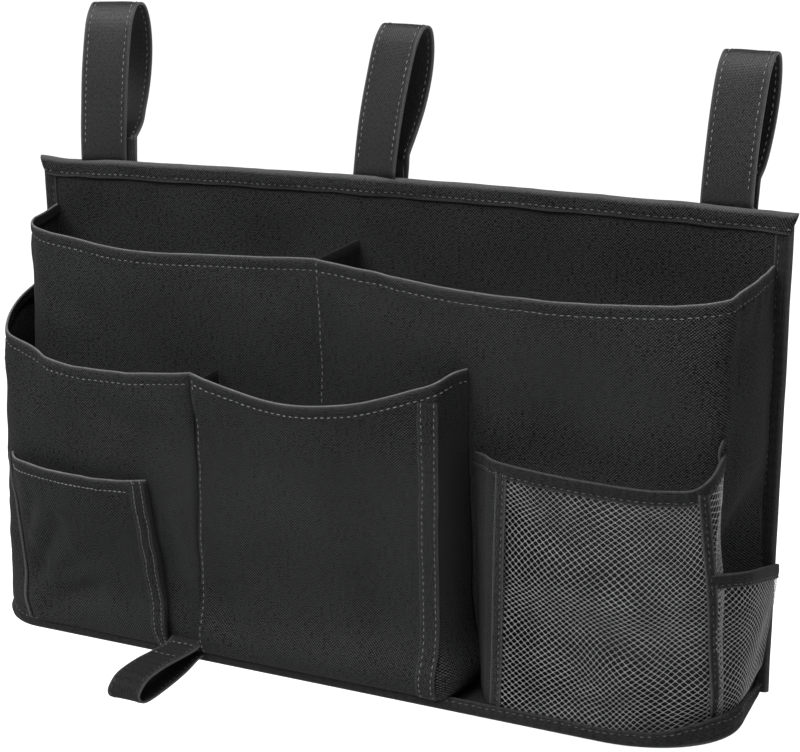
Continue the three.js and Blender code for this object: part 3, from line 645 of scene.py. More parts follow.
def hem_shape(depth):
    """The hem swells over its stitch line, which pulls the cloth in."""
    swell = 0.3 * bell(depth / HEM_STITCH) if depth < HEM_STITCH else 0.0
    return swell - 0.5 * bump(depth, HEM_STITCH, 0.9)


def sew_wall(name, wall, dressed, start, end, material, thickness=0.65, hemmed=True, pace=3.2,
             plain_rows=54):
    """A pocket wall from one run share to another, with its mouth hemmed where hemmed is set."""
    middle_level = (wall.foot(start) + wall.mouth(start)) / 2
    rough = arc_lengths([wall.at(lerp(start, end, s), middle_level) for s in shares(24)])[-1]
    columns = max(3, round(rough / pace))
    runs = [lerp(start, end, s) for s in shares(columns)]
    lengths = arc_lengths([wall.at(u, middle_level) for u in runs])
    rows = hem_rows(plain_rows) if hemmed else [(s, None, 0.0, 0.0) for s in shares(plain_rows)]
    zone = HEM_ZONE if hemmed else 0.0

    def gathered(i, depth):
        """Short puckers under the stitch line of the hem."""
        if not hemmed:
            return 0.0
        pucker = noise.noise(Vector((lengths[i] / 8.5, depth / 55, start + 3.0)))
        return 1.5 * pucker * bump(depth, 18, 8)

    def place(i, j):
        u = runs[i]
        mouth = wall.mouth(u)
        share, depth, inward, worn_and_highlit = rows[j]
        if depth is None:
            level = lerp(wall.foot(u), mouth - zone, share)
            spot, _out = dressed(u, level, gathered(i, mouth - level))
            return spot, lengths[i], level, worn_and_highlit
        spot, out = dressed(u, min(mouth - depth, mouth))
        lift = hem_shape(depth) if inward == 0 else 0.0
        uneven = noise.noise(Vector((lengths[i] / 5.5, depth / 9, 1)))
        lift += 0.45 * bell(depth / HEM_ZONE) * uneven
        lift += gathered(i, depth)
        flat = mouth - depth if inward == 0 else mouth + depth
        return spot + out * (lift - inward), lengths[i], flat, worn_and_highlit

    bm = cloth_grid(columns, len(rows) - 1, place)
    piece = finish_piece(name, bm, material, thickness)
    tall = max(wall.mouth(u) for u in runs) - wall.foot(start) + (HEM_TURN if hemmed else 0)
    return piece


def sweep(name, stations, profile, material, thickness, body="root", wobble=None):
    """A strip of cloth: a profile of (a, b, lightening by abrasion and a painted highlight) carried
    along stations of (spot, a, b).
    """
    lengths = arc_lengths([spot for spot, _a, _b in stations])
    widths = arc_lengths([Vector((a, b, 0)) for a, b, _worn_and_highlit in profile])

    def place(i, j):
        spot, way_a, way_b = stations[i]
        a, b, worn_and_highlit = profile[j]
        lift = wobble(lengths[i], a, spot) if wobble else 0.0
        return spot + way_a * a + way_b * (b + lift), lengths[i], widths[j], worn_and_highlit

    bm = cloth_grid(len(stations) - 1, len(profile) - 1, place, stations[0][2])
    piece = finish_piece(name, bm, material, thickness, body)
    return piece


def folded_profile(depth, spread, worn_and_highlit=0.3, swell=0.25, stitch=None):
    """A strip folded over an edge: up the front, over the fold and down the back. Its a runs
    inwards from the edge as negative numbers, its b is the front side."""
    stitch = depth - BINDING_STITCH if stitch is None else stitch
    front = []
    steps = max(4, round(depth / 1.1))
    for share in shares(steps):
        a = lerp(depth, spread, share)
        lift = swell * bell((a - spread) / (depth - spread)) - 0.3 * bump(a, stitch, 0.8)
        front.append((-a, spread + lift, worn_and_highlit * bump(a, depth, 0.6)))
    fold = []
    for turn in shares(6)[1:]:
        angle = math.pi * turn
        # The fold's edge is lightened: abrasion and a painted highlight.
        edge = worn_and_highlit * math.sin(angle)
        fold.append((-spread + spread * math.sin(angle), spread * math.cos(angle), edge))
    back = [(-lerp(spread, depth, share), -spread, 0.0) for share in shares(4)[1:]]
    return front + fold + back


def flat_profile(width, crown=0.0, groove=0.0, inset=3.0, count=14, worn_and_highlit=0.35):
    """A flat strip, with a little crown and a groove along each stitch line."""
    profile = []
    for share in shares(count):
        a = (share - 0.5) * width
        from_edge = width / 2 - abs(a)
        b = crown * bell(share) - groove * bump(from_edge, inset, 0.9)
        # The strip's edges are lightened: abrasion and a painted highlight.
        profile.append((a, b, worn_and_highlit * bump(from_edge, 0, 0.8)))
    return profile


def ripple(height, along, across, seed):
    """A soft unevenness of a strip, for a length along it and a place across it."""

    def wobble(length, a, _spot):
        return height * noise.noise(Vector((length / along, a / across, seed)))

    return wobble


def paced(line, pitch, wait):
    """Places along a line of (spot, out), a pitch apart, each with the way that it runs."""
    places = []
    due = wait
    done = 0.0
    for (start, out), (end, out_end) in zip(line, line[1:]):
        length = (end - start).length
        if length < 1e-6:
            continue
        along = (end - start) / length
        while due <= done + length:
            share = (due - done) / length
            places.append((start.lerp(end, share), along, out.lerp(out_end, share).normalized()))
            due += pitch
        done += length
    return places


def sew_stitches(name, lines, seed, body="root", pitch=None, thread="thread"):
    """Stitches along lines of (spot, out): each is a short thread, sunk at both ends."""
    setup = bpy.context.scene.caddy_stitches
    pitch = pitch or setup.pitch / MM
    length = setup.length / MM
    width = setup.width / MM
    draw = random.Random(seed)
    bm = bmesh.new()
    for line in lines:
        for spot, along, out in paced(line, pitch, pitch / 2):
            side = out.cross(along).normalized()
            level = along.cross(side).normalized()
            tilt = along + side * draw.uniform(-0.09, 0.09)
            turn = Matrix((tilt.normalized(), side, level)).transposed().to_4x4()
            reach = length * draw.uniform(0.42, 0.52)
            size = Matrix.Diagonal((reach * MM, width / 2 * MM, width / 2 * MM, 1))
            sunk = spot + side * draw.uniform(-0.15, 0.15) + out * draw.uniform(-0.25, 0.02)
            place = Matrix.Translation(in_frame(sunk))
            bmesh.ops.create_icosphere(bm, subdivisions=1, radius=1.0, matrix=place @ turn @ size)
    return finish_piece(name, bm, materials[thread], 0.0, body)


def mouth_line(wall, dressed, count, first, last):
    """The stitch line along a wall's hem, cut to the given steps."""
    return [dressed(u, wall.mouth(u) - HEM_STITCH, STITCH_LIFT) for u in shares(count)[first:last]]


def edge_lines(stations, inset, lift, reaches=((-math.inf, math.inf),)):
    """The stitch lines along both edges of a strap, on both faces, within reaches of height."""
    lines = []
    for side in (-inset, inset):
        for face in (lift, -lift):
            for low, high in reaches:
                lines.append([(spot + way * side + out * face, out * math.copysign(1, face))
                              for spot, way, out in stations if low < spot.z < high])
    return lines


def tape_line(stations):
    """The stitch line along a mouth's tape."""
    return [(spot - up * TAPE_STITCH + out * TAPE_STITCH_LIFT, out) for spot, up, out in stations]


def bind_mouth(name, stations, wobble=None):
    """Folds a tape over a mouth."""
    profile = folded_profile(TAPE_WIDTH, TAPE_SPREAD, worn_and_highlit=0.2, swell=0.15, stitch=TAPE_STITCH)
    return sweep(name, stations, profile, materials["tape"], 0.7, wobble=wobble)


def run_after(length, runs, lengths):
    """The run share that lies a length along the cloth."""
    for i in range(1, len(runs)):
        if length <= lengths[i]:
            share = (length - lengths[i - 1]) / (lengths[i] - lengths[i - 1])
            return lerp(runs[i - 1], runs[i], max(share, 0))
    return runs[-1]


def knit_net(name, wall, dressed, start, end, seed):
    """A knitted net between two run shares of a wall: diamond cells with rounded corners."""
    setup = bpy.context.scene.caddy_net
    cell = (setup.cell_width / MM, setup.cell_height / MM)
    strand = setup.strand / MM
    middle = (start + end) / 2
    foot = wall.foot(middle) + 1
    level = (foot + wall.mouth(middle)) / 2
    runs = [lerp(start, end, share) for share in shares(60)]
    lengths = arc_lengths([wall.at(u, level) for u in runs])
    width = lengths[-1]
    height = wall.mouth(middle) - foot
    count = math.ceil(width / cell[0] + height / cell[1]) + 2
    bm = bmesh.new()
    turn = Matrix.Rotation(math.pi / 4, 4, "Z")
    size = Matrix.Diagonal((cell[0] / math.sqrt(2), cell[1] / math.sqrt(2), 1, 1))
    centre = Matrix.Translation((width / 2, height / 2, 0))
    bmesh.ops.create_grid(bm, x_segments=count, y_segments=count, size=count / 2,
                          matrix=centre @ size @ turn)
    outside = []
    for face in bm.faces:
        spot = face.calc_center_median()
        if not (0 < spot.x < width and 0 < spot.y < height):
            outside.append(face)
    bmesh.ops.delete(bm, geom=outside, context="FACES")
    hole = bm.faces.layers.int.new("hole")
    for face in bm.faces:
        face[hole] = 1
    inner = list(bm.faces)
    rings = bmesh.ops.inset_individual(bm, faces=inner, thickness=strand / 2, use_even_offset=True)
    for face in rings["faces"]:
        face[hole] = 0
    corners = list({vertex for face in inner for vertex in face.verts})
    bmesh.ops.bevel(bm, geom=corners, offset=0.13 * cell[1], offset_type="OFFSET", segments=1,
                    profile=0.5, affect="VERTICES", material=-1)
    bmesh.ops.delete(bm, geom=[face for face in bm.faces if face[hole] == 1], context="FACES")
    shift = Vector((seed * 3.1, seed * 7.7, 0))
    for vertex in bm.verts:
        flat = Vector((vertex.co.x / 27, vertex.co.y / 31, 0)) + shift
        x = vertex.co.x + 3.2 * noise.noise(flat) * bell(vertex.co.x / width)
        y = vertex.co.y + 4.2 * noise.noise(flat + Vector((9.4, 3.3, 1.0)))
        u = run_after(x, runs, lengths)
        spot, _out = dressed(u, lerp(foot, wall.mouth(u), y / height))
        vertex.co = in_frame(spot)
    return finish_piece(name, bm, materials["net"], strand * 0.8)


# Materials
def add_node(tree, kind, inputs=(), **settings):
    """A node with its inputs given by name or number, as values or as sockets to link."""
    made = tree.nodes.new(kind)
    for key, value in settings.items():
        setattr(made, key, value)
    for key, value in dict(inputs).items():
        if isinstance(value, bpy.types.NodeSocket):
            tree.links.new(value, made.inputs[key])
        else:
            made.inputs[key].default_value = value
    return made


def math_node(tree, operation, first, second=0.0):
    return add_node(tree, "ShaderNodeMath", {0: first, 1: second}, operation=operation).outputs[0]


def vector_node(tree, operation, inputs):
    return add_node(tree, "ShaderNodeVectorMath", inputs, operation=operation).outputs[0]


def object_place(tree):
    return add_node(tree, "ShaderNodeTexCoord").outputs["Object"]


def plain_weave(tree, flat, pitch):
    """Threads over and under each other on a flat cloth in metres: the height, and a factor that
    is high where the weft is on top and low where the warp is."""
    threads = vector_node(tree, "SCALE", {0: flat, 3: math.pi / pitch})
    parts = add_node(tree, "ShaderNodeSeparateXYZ", {0: threads})
    warp = math_node(tree, "SINE", parts.outputs[0])
    weft = math_node(tree, "SINE", parts.outputs[1])
    heights = []
    for own, other, side in ((warp, weft, 0.35), (weft, warp, -0.35)):
        over = math_node(tree, "MULTIPLY", math_node(tree, "SIGN", own), other)
        rise = math_node(tree, "MULTIPLY", over, side)
        heights.append(math_node(tree, "ADD", math_node(tree, "ABSOLUTE", own), rise))
    height = math_node(tree, "MAXIMUM", heights[0], heights[1])
    crossing = math_node(tree, "MULTIPLY", warp, weft)
    return height, math_node(tree, "SUBTRACT", 0.5, math_node(tree, "MULTIPLY", crossing, 0.55))


def colour_mix(tree, factor, first, second):
    mixed = add_node(tree, "ShaderNodeMix", data_type="RGBA")
    for key, value in ((0, factor), (6, first), (7, second)):
        if isinstance(value, bpy.types.NodeSocket):
            tree.links.new(value, mixed.inputs[key])
        else:
            mixed.inputs[key].default_value = value if key == 0 else (*value, 1.0)
    return mixed.outputs[2]


def new_material(name, roughness, sheen, specular):
    material = bpy.data.materials.new(name)
    material.use_nodes = True
    shader = material.node_tree.nodes["Principled BSDF"]
    shader.inputs["Roughness"].default_value = roughness
    shader.inputs["Specular IOR Level"].default_value = specular
    shader.inputs["Sheen Weight"].default_value = sheen
    shader.inputs["Sheen Roughness"].default_value = 0.45
    return material, material.node_tree, shader


def finish_shader(tree, shader, colour, height, strength, distance):
    """Links the shader to a colour, and to bumps of that height, strength and distance."""
    tree.links.new(colour, shader.inputs["Base Color"])
    raised = add_node(tree, "ShaderNodeBump", {"Height": height, "Strength": strength,
                      "Distance": distance})
    tree.links.new(raised.outputs[0], shader.inputs["Normal"])


def patchy(tree, scale, low, high, detail=3.0):
    """Slow change of tone over the object, as a factor between low and high: painted light and
    shade on the cloth and the threads, grain on the board and a faint tone on the floor.
    """
    cloud = add_node(tree, "ShaderNodeTexNoise", {"Vector": object_place(tree), "Scale": scale,
                     "Detail": detail})
    return add_node(tree, "ShaderNodeMapRange", {"Value": cloud.outputs[0], "From Min": 0.3,
                    "From Max": 0.7, "To Min": low, "To Max": high}).outputs[0]


def woven_material(name, dark, light, pitch, bump_strength=0.5, sheen=0.01, roughness=0.85,
                   worn_and_highlit_colour=None, ribs=False, specular=0.02):
    """Cloth of woven threads: height follows the weave, as do painted shade in its grooves and
    painted highlights on its thread tops; slow patches of painted light lie over it, and folds are
    lighter from abrasion and a painted highlight.
    """
    material, tree, shader = new_material(name, roughness, sheen, specular)
    flat = add_node(tree, "ShaderNodeUVMap", uv_map=WEAVE).outputs[0]
    wander = add_node(tree, "ShaderNodeTexNoise", {"Vector": flat, "Scale": 260.0, "Detail": 1.0})
    drift = vector_node(tree, "SCALE", {0: wander.outputs[1], 3: 0.00025})
    wavy = vector_node(tree, "ADD", {0: flat, 1: drift})
    height, weft_side = plain_weave(tree, wavy, pitch)
    if ribs:
        stretched = vector_node(tree, "MULTIPLY", {0: flat, 1: (0.22, 1.0, 1.0)})
        ribbed, _side = plain_weave(tree, stretched, 2.4 * pitch)
        height = math_node(tree, "ADD", height, ribbed)
    stretch = vector_node(tree, "MULTIPLY", {0: flat, 1: (480.0, 1000.0, 1.0)})
    slubs = add_node(tree, "ShaderNodeTexNoise", {"Vector": stretch, "Scale": 1.0, "Detail": 3.0,
                     "Roughness": 0.7})
    uneven = add_node(tree, "ShaderNodeMapRange", {"Value": slubs.outputs[0], "From Min": 0.36,
                      "From Max": 0.64, "To Min": 0.35, "To Max": 1.65}, clamp=False).outputs[0]
    # Painted light on the weave: thread tops lit and grooves shaded, times the slubs' real
    # unevenness.
    lit = math_node(tree, "MULTIPLY", math_node(tree, "MULTIPLY", height, weft_side), uneven)
    lit = math_node(tree, "POWER", math_node(tree, "MAXIMUM", lit, 0.0), 1.6)
    # Slow patches of painted light and shade over the cloth.
    lit = math_node(tree, "MULTIPLY", lit, patchy(tree, 14.0, 0.8, 1.2))
    colour = colour_mix(tree, lit, dark, light)
    # Folded edges mixed towards a lighter colour: abrasion and a painted highlight.
    if worn_and_highlit_colour:
        worn_and_highlit = add_node(tree, "ShaderNodeAttribute", attribute_name=WEAR_AND_HIGHLIGHT).outputs["Fac"]
        speck = add_node(tree, "ShaderNodeTexNoise", {"Vector": flat, "Scale": 1500.0,
                         "Detail": 1.0})
        picked = math_node(tree, "MULTIPLY", worn_and_highlit, math_node(tree, "ADD", speck.outputs[0], 0.1))
        colour = colour_mix(tree, picked, colour, worn_and_highlit_colour)
    finish_shader(tree, shader, colour, height, bump_strength, 0.00018)
    return material


def fuzzy_material(name, dark, light, scale):
    """Short upright fibres: hook and loop tape."""
    material, tree, shader = new_material(name, 0.95, 0.35, 0.15)
    place = object_place(tree)
    dots = add_node(tree, "ShaderNodeTexVoronoi", {"Vector": place, "Scale": scale})
    mist = add_node(tree, "ShaderNodeTexNoise", {"Vector": place, "Scale": scale / 3,
                    "Detail": 4.0})
    near = math_node(tree, "SUBTRACT", 1.0, dots.outputs["Distance"])
    fibres = math_node(tree, "MULTIPLY", near, mist.outputs[0])
    finish_shader(tree, shader, colour_mix(tree, fibres, dark, light), fibres, 0.8, 0.0004)
    return material


def thread_material(name, dark, light, pitch=0.0006):
    """Twisted thread: fine slanting stripes of painted shade along it, in slow patches of painted
    light.
    """
    material, tree, shader = new_material(name, 0.6, 0.15, 0.4)
    twist = add_node(tree, "ShaderNodeTexWave", {"Vector": object_place(tree),
                     "Scale": 0.3 / pitch, "Distortion": 2.0}, wave_type="BANDS",
                     bands_direction="DIAGONAL")
    # Painted light: the twist's stripes of shade, brighter or darker in slow patches from stitch to
    # stitch.
    shade = math_node(tree, "MULTIPLY", twist.outputs[1], patchy(tree, 60.0, 0.3, 1.3))
    colour = colour_mix(tree, shade, dark, light)
    finish_shader(tree, shader, colour, twist.outputs[1], 0.4, 0.0001)
    return material


def board_material():
    material, tree, shader = new_material("stiffening board", 0.65, 0.0, 0.4)
    grain = patchy(tree, 240.0, 0.0, 1.0, 6.0)
    colour = colour_mix(tree, grain, (0.15, 0.15, 0.14), (0.23, 0.23, 0.22))
    finish_shader(tree, shader, colour, grain, 0.2, 0.0002)
    return material


materials = {}


def shaded(colour, share):
    return [share * channel for channel in colour]


def make_materials():
    cloth = bpy.context.scene.caddy_cloth
    dark = tuple(cloth.dark)
    light = tuple(cloth.light)
    worn_and_highlit = tuple(cloth.worn_and_highlit)
    pitch = cloth.thread_pitch
    materials["cloth"] = woven_material("oxford cloth", dark, light, pitch, worn_and_highlit_colour=worn_and_highlit)
    materials["lining"] = woven_material("lining cloth", shaded(dark, 0.7), shaded(light, 0.7),
                                         0.8 * pitch, bump_strength=0.4)
    materials["tape"] = woven_material("binding tape", shaded(dark, 0.5), shaded(light, 0.45),
                                       0.75 * pitch, bump_strength=0.6, roughness=0.7,
                                       worn_and_highlit_colour=worn_and_highlit, ribs=True)
    materials["strap"] = woven_material("strap cloth", dark, shaded(light, 0.75), pitch,
                                        bump_strength=0.6, sheen=0.02, roughness=0.42,
                                        worn_and_highlit_colour=worn_and_highlit, specular=0.16)
    materials["hook"] = fuzzy_material("hook tape", (0.003, 0.003, 0.003), (0.02, 0.02, 0.021),
                                       1600.0)
    thread_colour = tuple(bpy.context.scene.caddy_stitches.colour)
    materials["thread"] = thread_material("stitching thread", (0.03, 0.03, 0.03), thread_colour)
    materials["dull_thread"] = thread_material("dull thread", (0.02, 0.02, 0.02),
                                               shaded(thread_colour, 0.55))
    materials["tape_thread"] = thread_material("tape thread", (0.008, 0.008, 0.008),
                                               shaded(thread_colour, 0.14))
    materials["net"] = thread_material("net thread", (0.05, 0.05, 0.051),
                                       tuple(bpy.context.scene.caddy_net.colour), 0.0005)
    materials["board"] = board_material()
    for node in ("back_board", "base_board"):
        frame["nodes"][node].data.materials.clear()
        frame["nodes"][node].data.materials.append(materials["board"])


class CaddyClothSettings(bpy.types.PropertyGroup):
    thread_pitch: FloatProperty(name="Thread pitch", default=0.00084, unit="LENGTH", precision=5,
                                description="Distance from one thread of the weave to the next")
    # dark is the weave's painted shade, between the threads.
    dark: FloatVectorProperty(name="Dark", default=(0.0006, 0.0006, 0.0006), subtype="COLOR",
                              description="Colour between the threads")
    # light is the weave's painted highlight, on top of the threads.
    light: FloatVectorProperty(name="Light", default=(0.038, 0.038, 0.0386), subtype="COLOR",
                               description="Colour on top of the threads")
    # Colour of folded edges: abrasion and a painted highlight.
    worn_and_highlit: FloatVectorProperty(name="Worn", default=(0.17, 0.17, 0.17), subtype="COLOR",
                              description="Colour of the threads along a folded edge")


class CaddyStitchSettings(bpy.types.PropertyGroup):
    pitch: FloatProperty(name="Pitch", default=0.0042, unit="LENGTH", precision=4,
                         description="Distance from one stitch to the next")
    length: FloatProperty(name="Length", default=0.0027, unit="LENGTH", precision=4,
                          description="Length of the thread that shows in one stitch")
    width: FloatProperty(name="Width", default=0.0006, unit="LENGTH", precision=4,
                         description="Width of the thread")
    colour: FloatVectorProperty(name="Colour", default=(0.19, 0.19, 0.19), subtype="COLOR",
                                description="Colour of the thread")


class CaddyNetSettings(bpy.types.PropertyGroup):
    cell_width: FloatProperty(name="Cell width", default=0.0042, unit="LENGTH", precision=4,
                              description="Width of one diamond of the net")
    cell_height: FloatProperty(name="Cell height", default=0.0036, unit="LENGTH", precision=4,
                               description="Height of one diamond of the net")
    strand: FloatProperty(name="Strand", default=0.00028, unit="LENGTH", precision=5,
                          description="Width of the net's strands")
    colour: FloatVectorProperty(name="Colour", default=(0.16, 0.16, 0.16), subtype="COLOR",
                                description="Colour of the net's thread")


class CaddyStageSettings(bpy.types.PropertyGroup):
    floor_colour: FloatVectorProperty(name="Floor", default=(0.94, 0.94, 0.94), subtype="COLOR",
                                      description="Colour of the floor")
    key: FloatProperty(name="Key light", default=3.6, description="Strength of the sun")
    fill: FloatProperty(name="Fill light", default=9.8, unit="POWER",
                        description="Power of the soft light on the right")


class OBJECT_OT_caddy_materials(bpy.types.Operator):
    """Makes the caddy's cloths, tapes, threads and board"""

    bl_idname = "object.caddy_materials"
    bl_label = "Materials"

    def execute(self, context):
        make_materials()
        return {"FINISHED"}


class OBJECT_OT_caddy_back_panel(bpy.types.Operator):
    """Covers the stiffened back panel with cloth, front and rear"""

    bl_idname = "object.caddy_back_panel"
    bl_label = "Back Panel"

    def execute(self, context):
        def smooth_edges(spot):
            side = smoothstep(PANEL_WIDTH / 2 - abs(spot.x), 8, 30)
            top = smoothstep(-spot.z, 11, 26)
            return 0.9 * noise.noise(Vector((spot.x / 38, 3.0, spot.z / 30))) * side * top

        for name, y, way in (("back_cloth_front", 0.4, 1), ("back_cloth_rear", 3.3, -1)):
            half = way * PANEL_WIDTH / 2

            def at(u, level, half=half, y=y):
                return Vector((lerp(-half, half, u), y, clamp(level, FLOOR + 0.5, TOP_RISE)))

            wall = Wall(at, lambda u: FLOOR + 0.5,
                        lambda u: hem_top(lerp(-HEM_HALF, HEM_HALF, u)) - 1.6)
            cloth = "cloth" if way > 0 else "lining"
            piece = sew_wall(name.replace("cloth", "panel"), wall, dress(wall, smooth_edges), 0, 1,
                             materials[cloth], thickness=0.7, hemmed=False, pace=4.5,
                             plain_rows=60)
            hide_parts(name)
        return {"FINISHED"}


class OBJECT_OT_caddy_top_hem(bpy.types.Operator):
    """Folds the padded hem over the top edge and stitches it down"""

    bl_idname = "object.caddy_top_hem"
    bl_label = "Top Hem"

    def execute(self, context):
        def centre(x):
            turned_up = 1.6 * smoothstep(-x, 228, HEM_HALF)
            wavy = 0.7 * noise.noise(Vector((x / 34, 1.0, 5.0)))
            return Vector((x, PANEL_DEPTH / 2, hem_top(x) + turned_up + wavy))

        stations = []
        for share in shares(200):
            x = lerp(-HEM_HALF, HEM_HALF, share)
            pinch = lerp(1.0, 0.6, smoothstep(abs(x), HEM_HALF - 2, HEM_HALF))
            slant = math.copysign(0.38 * smoothstep(abs(x), 225, HEM_HALF), x)
            tall = 1 + 0.08 * noise.noise(Vector((x / 23, 4.0, 2.0)))
            stations.append((centre(x), (UP + Vector((slant, 0, 0))) * tall, FORWARD * pinch))
        profile = folded_profile(HEM_HEIGHT, HEM_SPREAD, worn_and_highlit=0.4, swell=0.35,
                                 stitch=TOP_HEM_STITCH)

        def wobble(_length, a, spot):
            wide = noise.noise(Vector((spot.x / 24, a / 9, 4.0)))
            return 0.9 * wide + 0.45 * noise.noise(Vector((spot.x / 7, a / 5, 8.0)))

        piece = sweep("top_hem_cloth", stations, profile, materials["cloth"], 1.0,
                      wobble=wobble)
        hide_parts("top_hem")
        line = []
        for share in shares(240):
            x = lerp(-HEM_HALF + 3, HEM_HALF - 3, share)
            spot = centre(x) + UP * (-TOP_HEM_STITCH + 0.3 * noise.noise(Vector((x / 40, 0, 0))))
            lift = HEM_SPREAD + 0.6 + wobble(0, -TOP_HEM_STITCH, spot)
            line.append((spot + FORWARD * lift, FORWARD))
        sew_stitches("top_hem_stitching", [line], 2, thread="dull_thread")
        return {"FINISHED"}


class OBJECT_OT_caddy_side_bindings(bpy.types.Operator):
    """Binds both sides of the back panel"""

    bl_idname = "object.caddy_side_bindings"
    bl_label = "Side Bindings"

    def execute(self, context):
        for side, name in ((-1, "left"), (1, "right")):
            edge = side * (PANEL_WIDTH / 2 + 0.6)
            top = hem_top(edge) - 2.5
            under_hem = hem_top(edge) - HEM_HEIGHT
            out = Vector((side, 0, 0))
            stations = []
            for share in shares(90):
                level = lerp(FLOOR + 0.3, top, share)
                lean = 0.5 * noise.noise(Vector((level / 35, side, 0)))
                flat = lerp(1.0, 0.78, smoothstep(level, under_hem - 2.5, under_hem - 0.5))
                spot = Vector((edge + lean, PANEL_DEPTH / 2, level))
                stations.append((spot, out, FORWARD * flat))
            profile = folded_profile(BINDING_WIDTH, BINDING_SPREAD, worn_and_highlit=0.25, swell=0.2)

            def wobble(length, a, spot):
                return 0.22 * noise.noise(Vector((length / 17, a / 6, spot.x)))

            piece = sweep(f"side_binding_{name}_tape", stations, profile, materials["tape"], 0.75,
                          wobble=wobble)
            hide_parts(f"side_binding_{name}")
            line = []
            for spot, _out, _forward in stations[:-5]:
                inboard = spot - out * (BINDING_WIDTH - BINDING_STITCH)
                inboard += FORWARD * (BINDING_SPREAD + 0.3)
                line.append((inboard, FORWARD))
            sew_stitches(f"side_binding_{name}_stitching", [line], 3 + side, thread="tape_thread")
        return {"FINISHED"}


def base_line(inset):
    """The base's outline from the left rear to the right rear, as places and outward ways."""
    half = BASE_WIDTH / 2 - inset
    front = -(BASE_DEPTH - inset)
    rear = -2.0
    line = []
    for share in shares(12)[:-1]:
        line.append((Vector((-half, lerp(rear, front + LEFT_CORNER[1], share), 0)),
                     Vector((-1, 0, 0))))
    for side, (width, depth) in ((-1, LEFT_CORNER), (1, RIGHT_CORNER)):
        corner = []
        for share in shares(22):
            angle = share * math.pi / 2
            spot = Vector((side * (half - width + width * math.cos(angle)),
                           front + depth - depth * math.sin(angle), 0))
            way = Vector((side * math.cos(angle) * depth, -math.sin(angle) * width, 0))
            corner.append((spot, way.normalized()))
        if side > 0:
            straight = [(Vector((lerp(-half + LEFT_CORNER[0], half - width, share), front, 0)),
                         Vector(FORWARD)) for share in shares(90)[1:-1]]
            line += straight + corner[::-1]
        else:
            line += corner
    for share in shares(12)[1:]:
        line.append((Vector((half, lerp(front + RIGHT_CORNER[1], rear, share), 0)),
                     Vector((1, 0, 0))))
    return line


class OBJECT_OT_caddy_base(bpy.types.Operator):
    """Covers the base board and sews the band around it"""

    bl_idname = "object.caddy_base"
    bl_label = "Base"

    def execute(self, context):
        for name, level, cloth in (("base_cloth_under", FLOOR + 0.4, "cloth"),
                                   ("base_cloth_inner", FLOOR + 4.0, "lining")):
            bm = bmesh.new()
            weave = bm.loops.layers.uv.new(WEAVE)
            bm.verts.layers.float.new(WEAR_AND_HIGHLIGHT)
            rim = [bm.verts.new(in_frame(spot + UP * level)) for spot, _out in base_line(1.9)]
            bm.faces.new(rim)
            bmesh.ops.bisect_plane(bm, geom=bm.verts[:] + bm.edges[:] + bm.faces[:],
                                   plane_co=(0, 0, 0), plane_no=(1, 0, 0))
            for face in bm.faces:
                for loop in face.loops:
                    loop[weave].uv = loop.vert.co.xy
            bmesh.ops.recalc_face_normals(bm, faces=bm.faces)
            piece = finish_piece(name.replace("cloth", "sheet"), bm, materials[cloth], 0.7)
            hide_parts(name)

        stations = []
        for spot, out in base_line(0.5):
            right = smoothstep(spot.x, 196, 236) * smoothstep(-spot.y, 12, 40)
            left = smoothstep(-spot.x, 212, 238) * smoothstep(-spot.y, 20, 60)
            tall = 0.78 + 0.6 * right + 0.34 * left
            stations.append((spot + UP * (FLOOR + 0.45), UP * tall, out))
        # The third numbers lighten the band's edges: abrasion and a painted highlight.
        profile = [(0.0, -5.0, 0.0), (0.0, -2.0, 0.0), (0.15, -0.6, 0.1), (0.7, -0.1, 0.3)]
        for share in shares(8):
            height = lerp(1.6, BAND_HEIGHT - 1.2, share)
            profile.append((height, 0.25 * bell(share) - 0.7 * share**2, 0.0))
        profile += [(BAND_HEIGHT - 0.6, -1.1, 0.1), (BAND_HEIGHT - 0.7, -1.8, 0.0)]

        def wobble(length, a, spot):
            rumple = smoothstep(spot.x, 130, 190) + 0.6 * smoothstep(-spot.x, 200, 235)
            soft = noise.noise(Vector((length / 24, a / 8, 2.0)))
            sharp = noise.noise(Vector((length / 8 + a / 5, a / 5, 6.0)))
            free = smoothstep(a, 0, 4)
            return (0.5 + 1.4 * rumple) * soft * free + (0.3 + 1.1 * rumple) * sharp * free

        piece = sweep("base_band_cloth", stations, profile, materials["tape"], 0.8,
                      wobble=wobble)
        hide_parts("base_band")
        height = BAND_HEIGHT - 2.8
        line = []
        for length, (spot, up, out) in zip(arc_lengths([s for s, _u, _o in stations]), stations):
            line.append((spot + up * height + out * (wobble(length, height, spot) + 0.2), out))
        sew_stitches("base_band_stitching", [line], 19, thread="tape_thread")
        return {"FINISHED"}


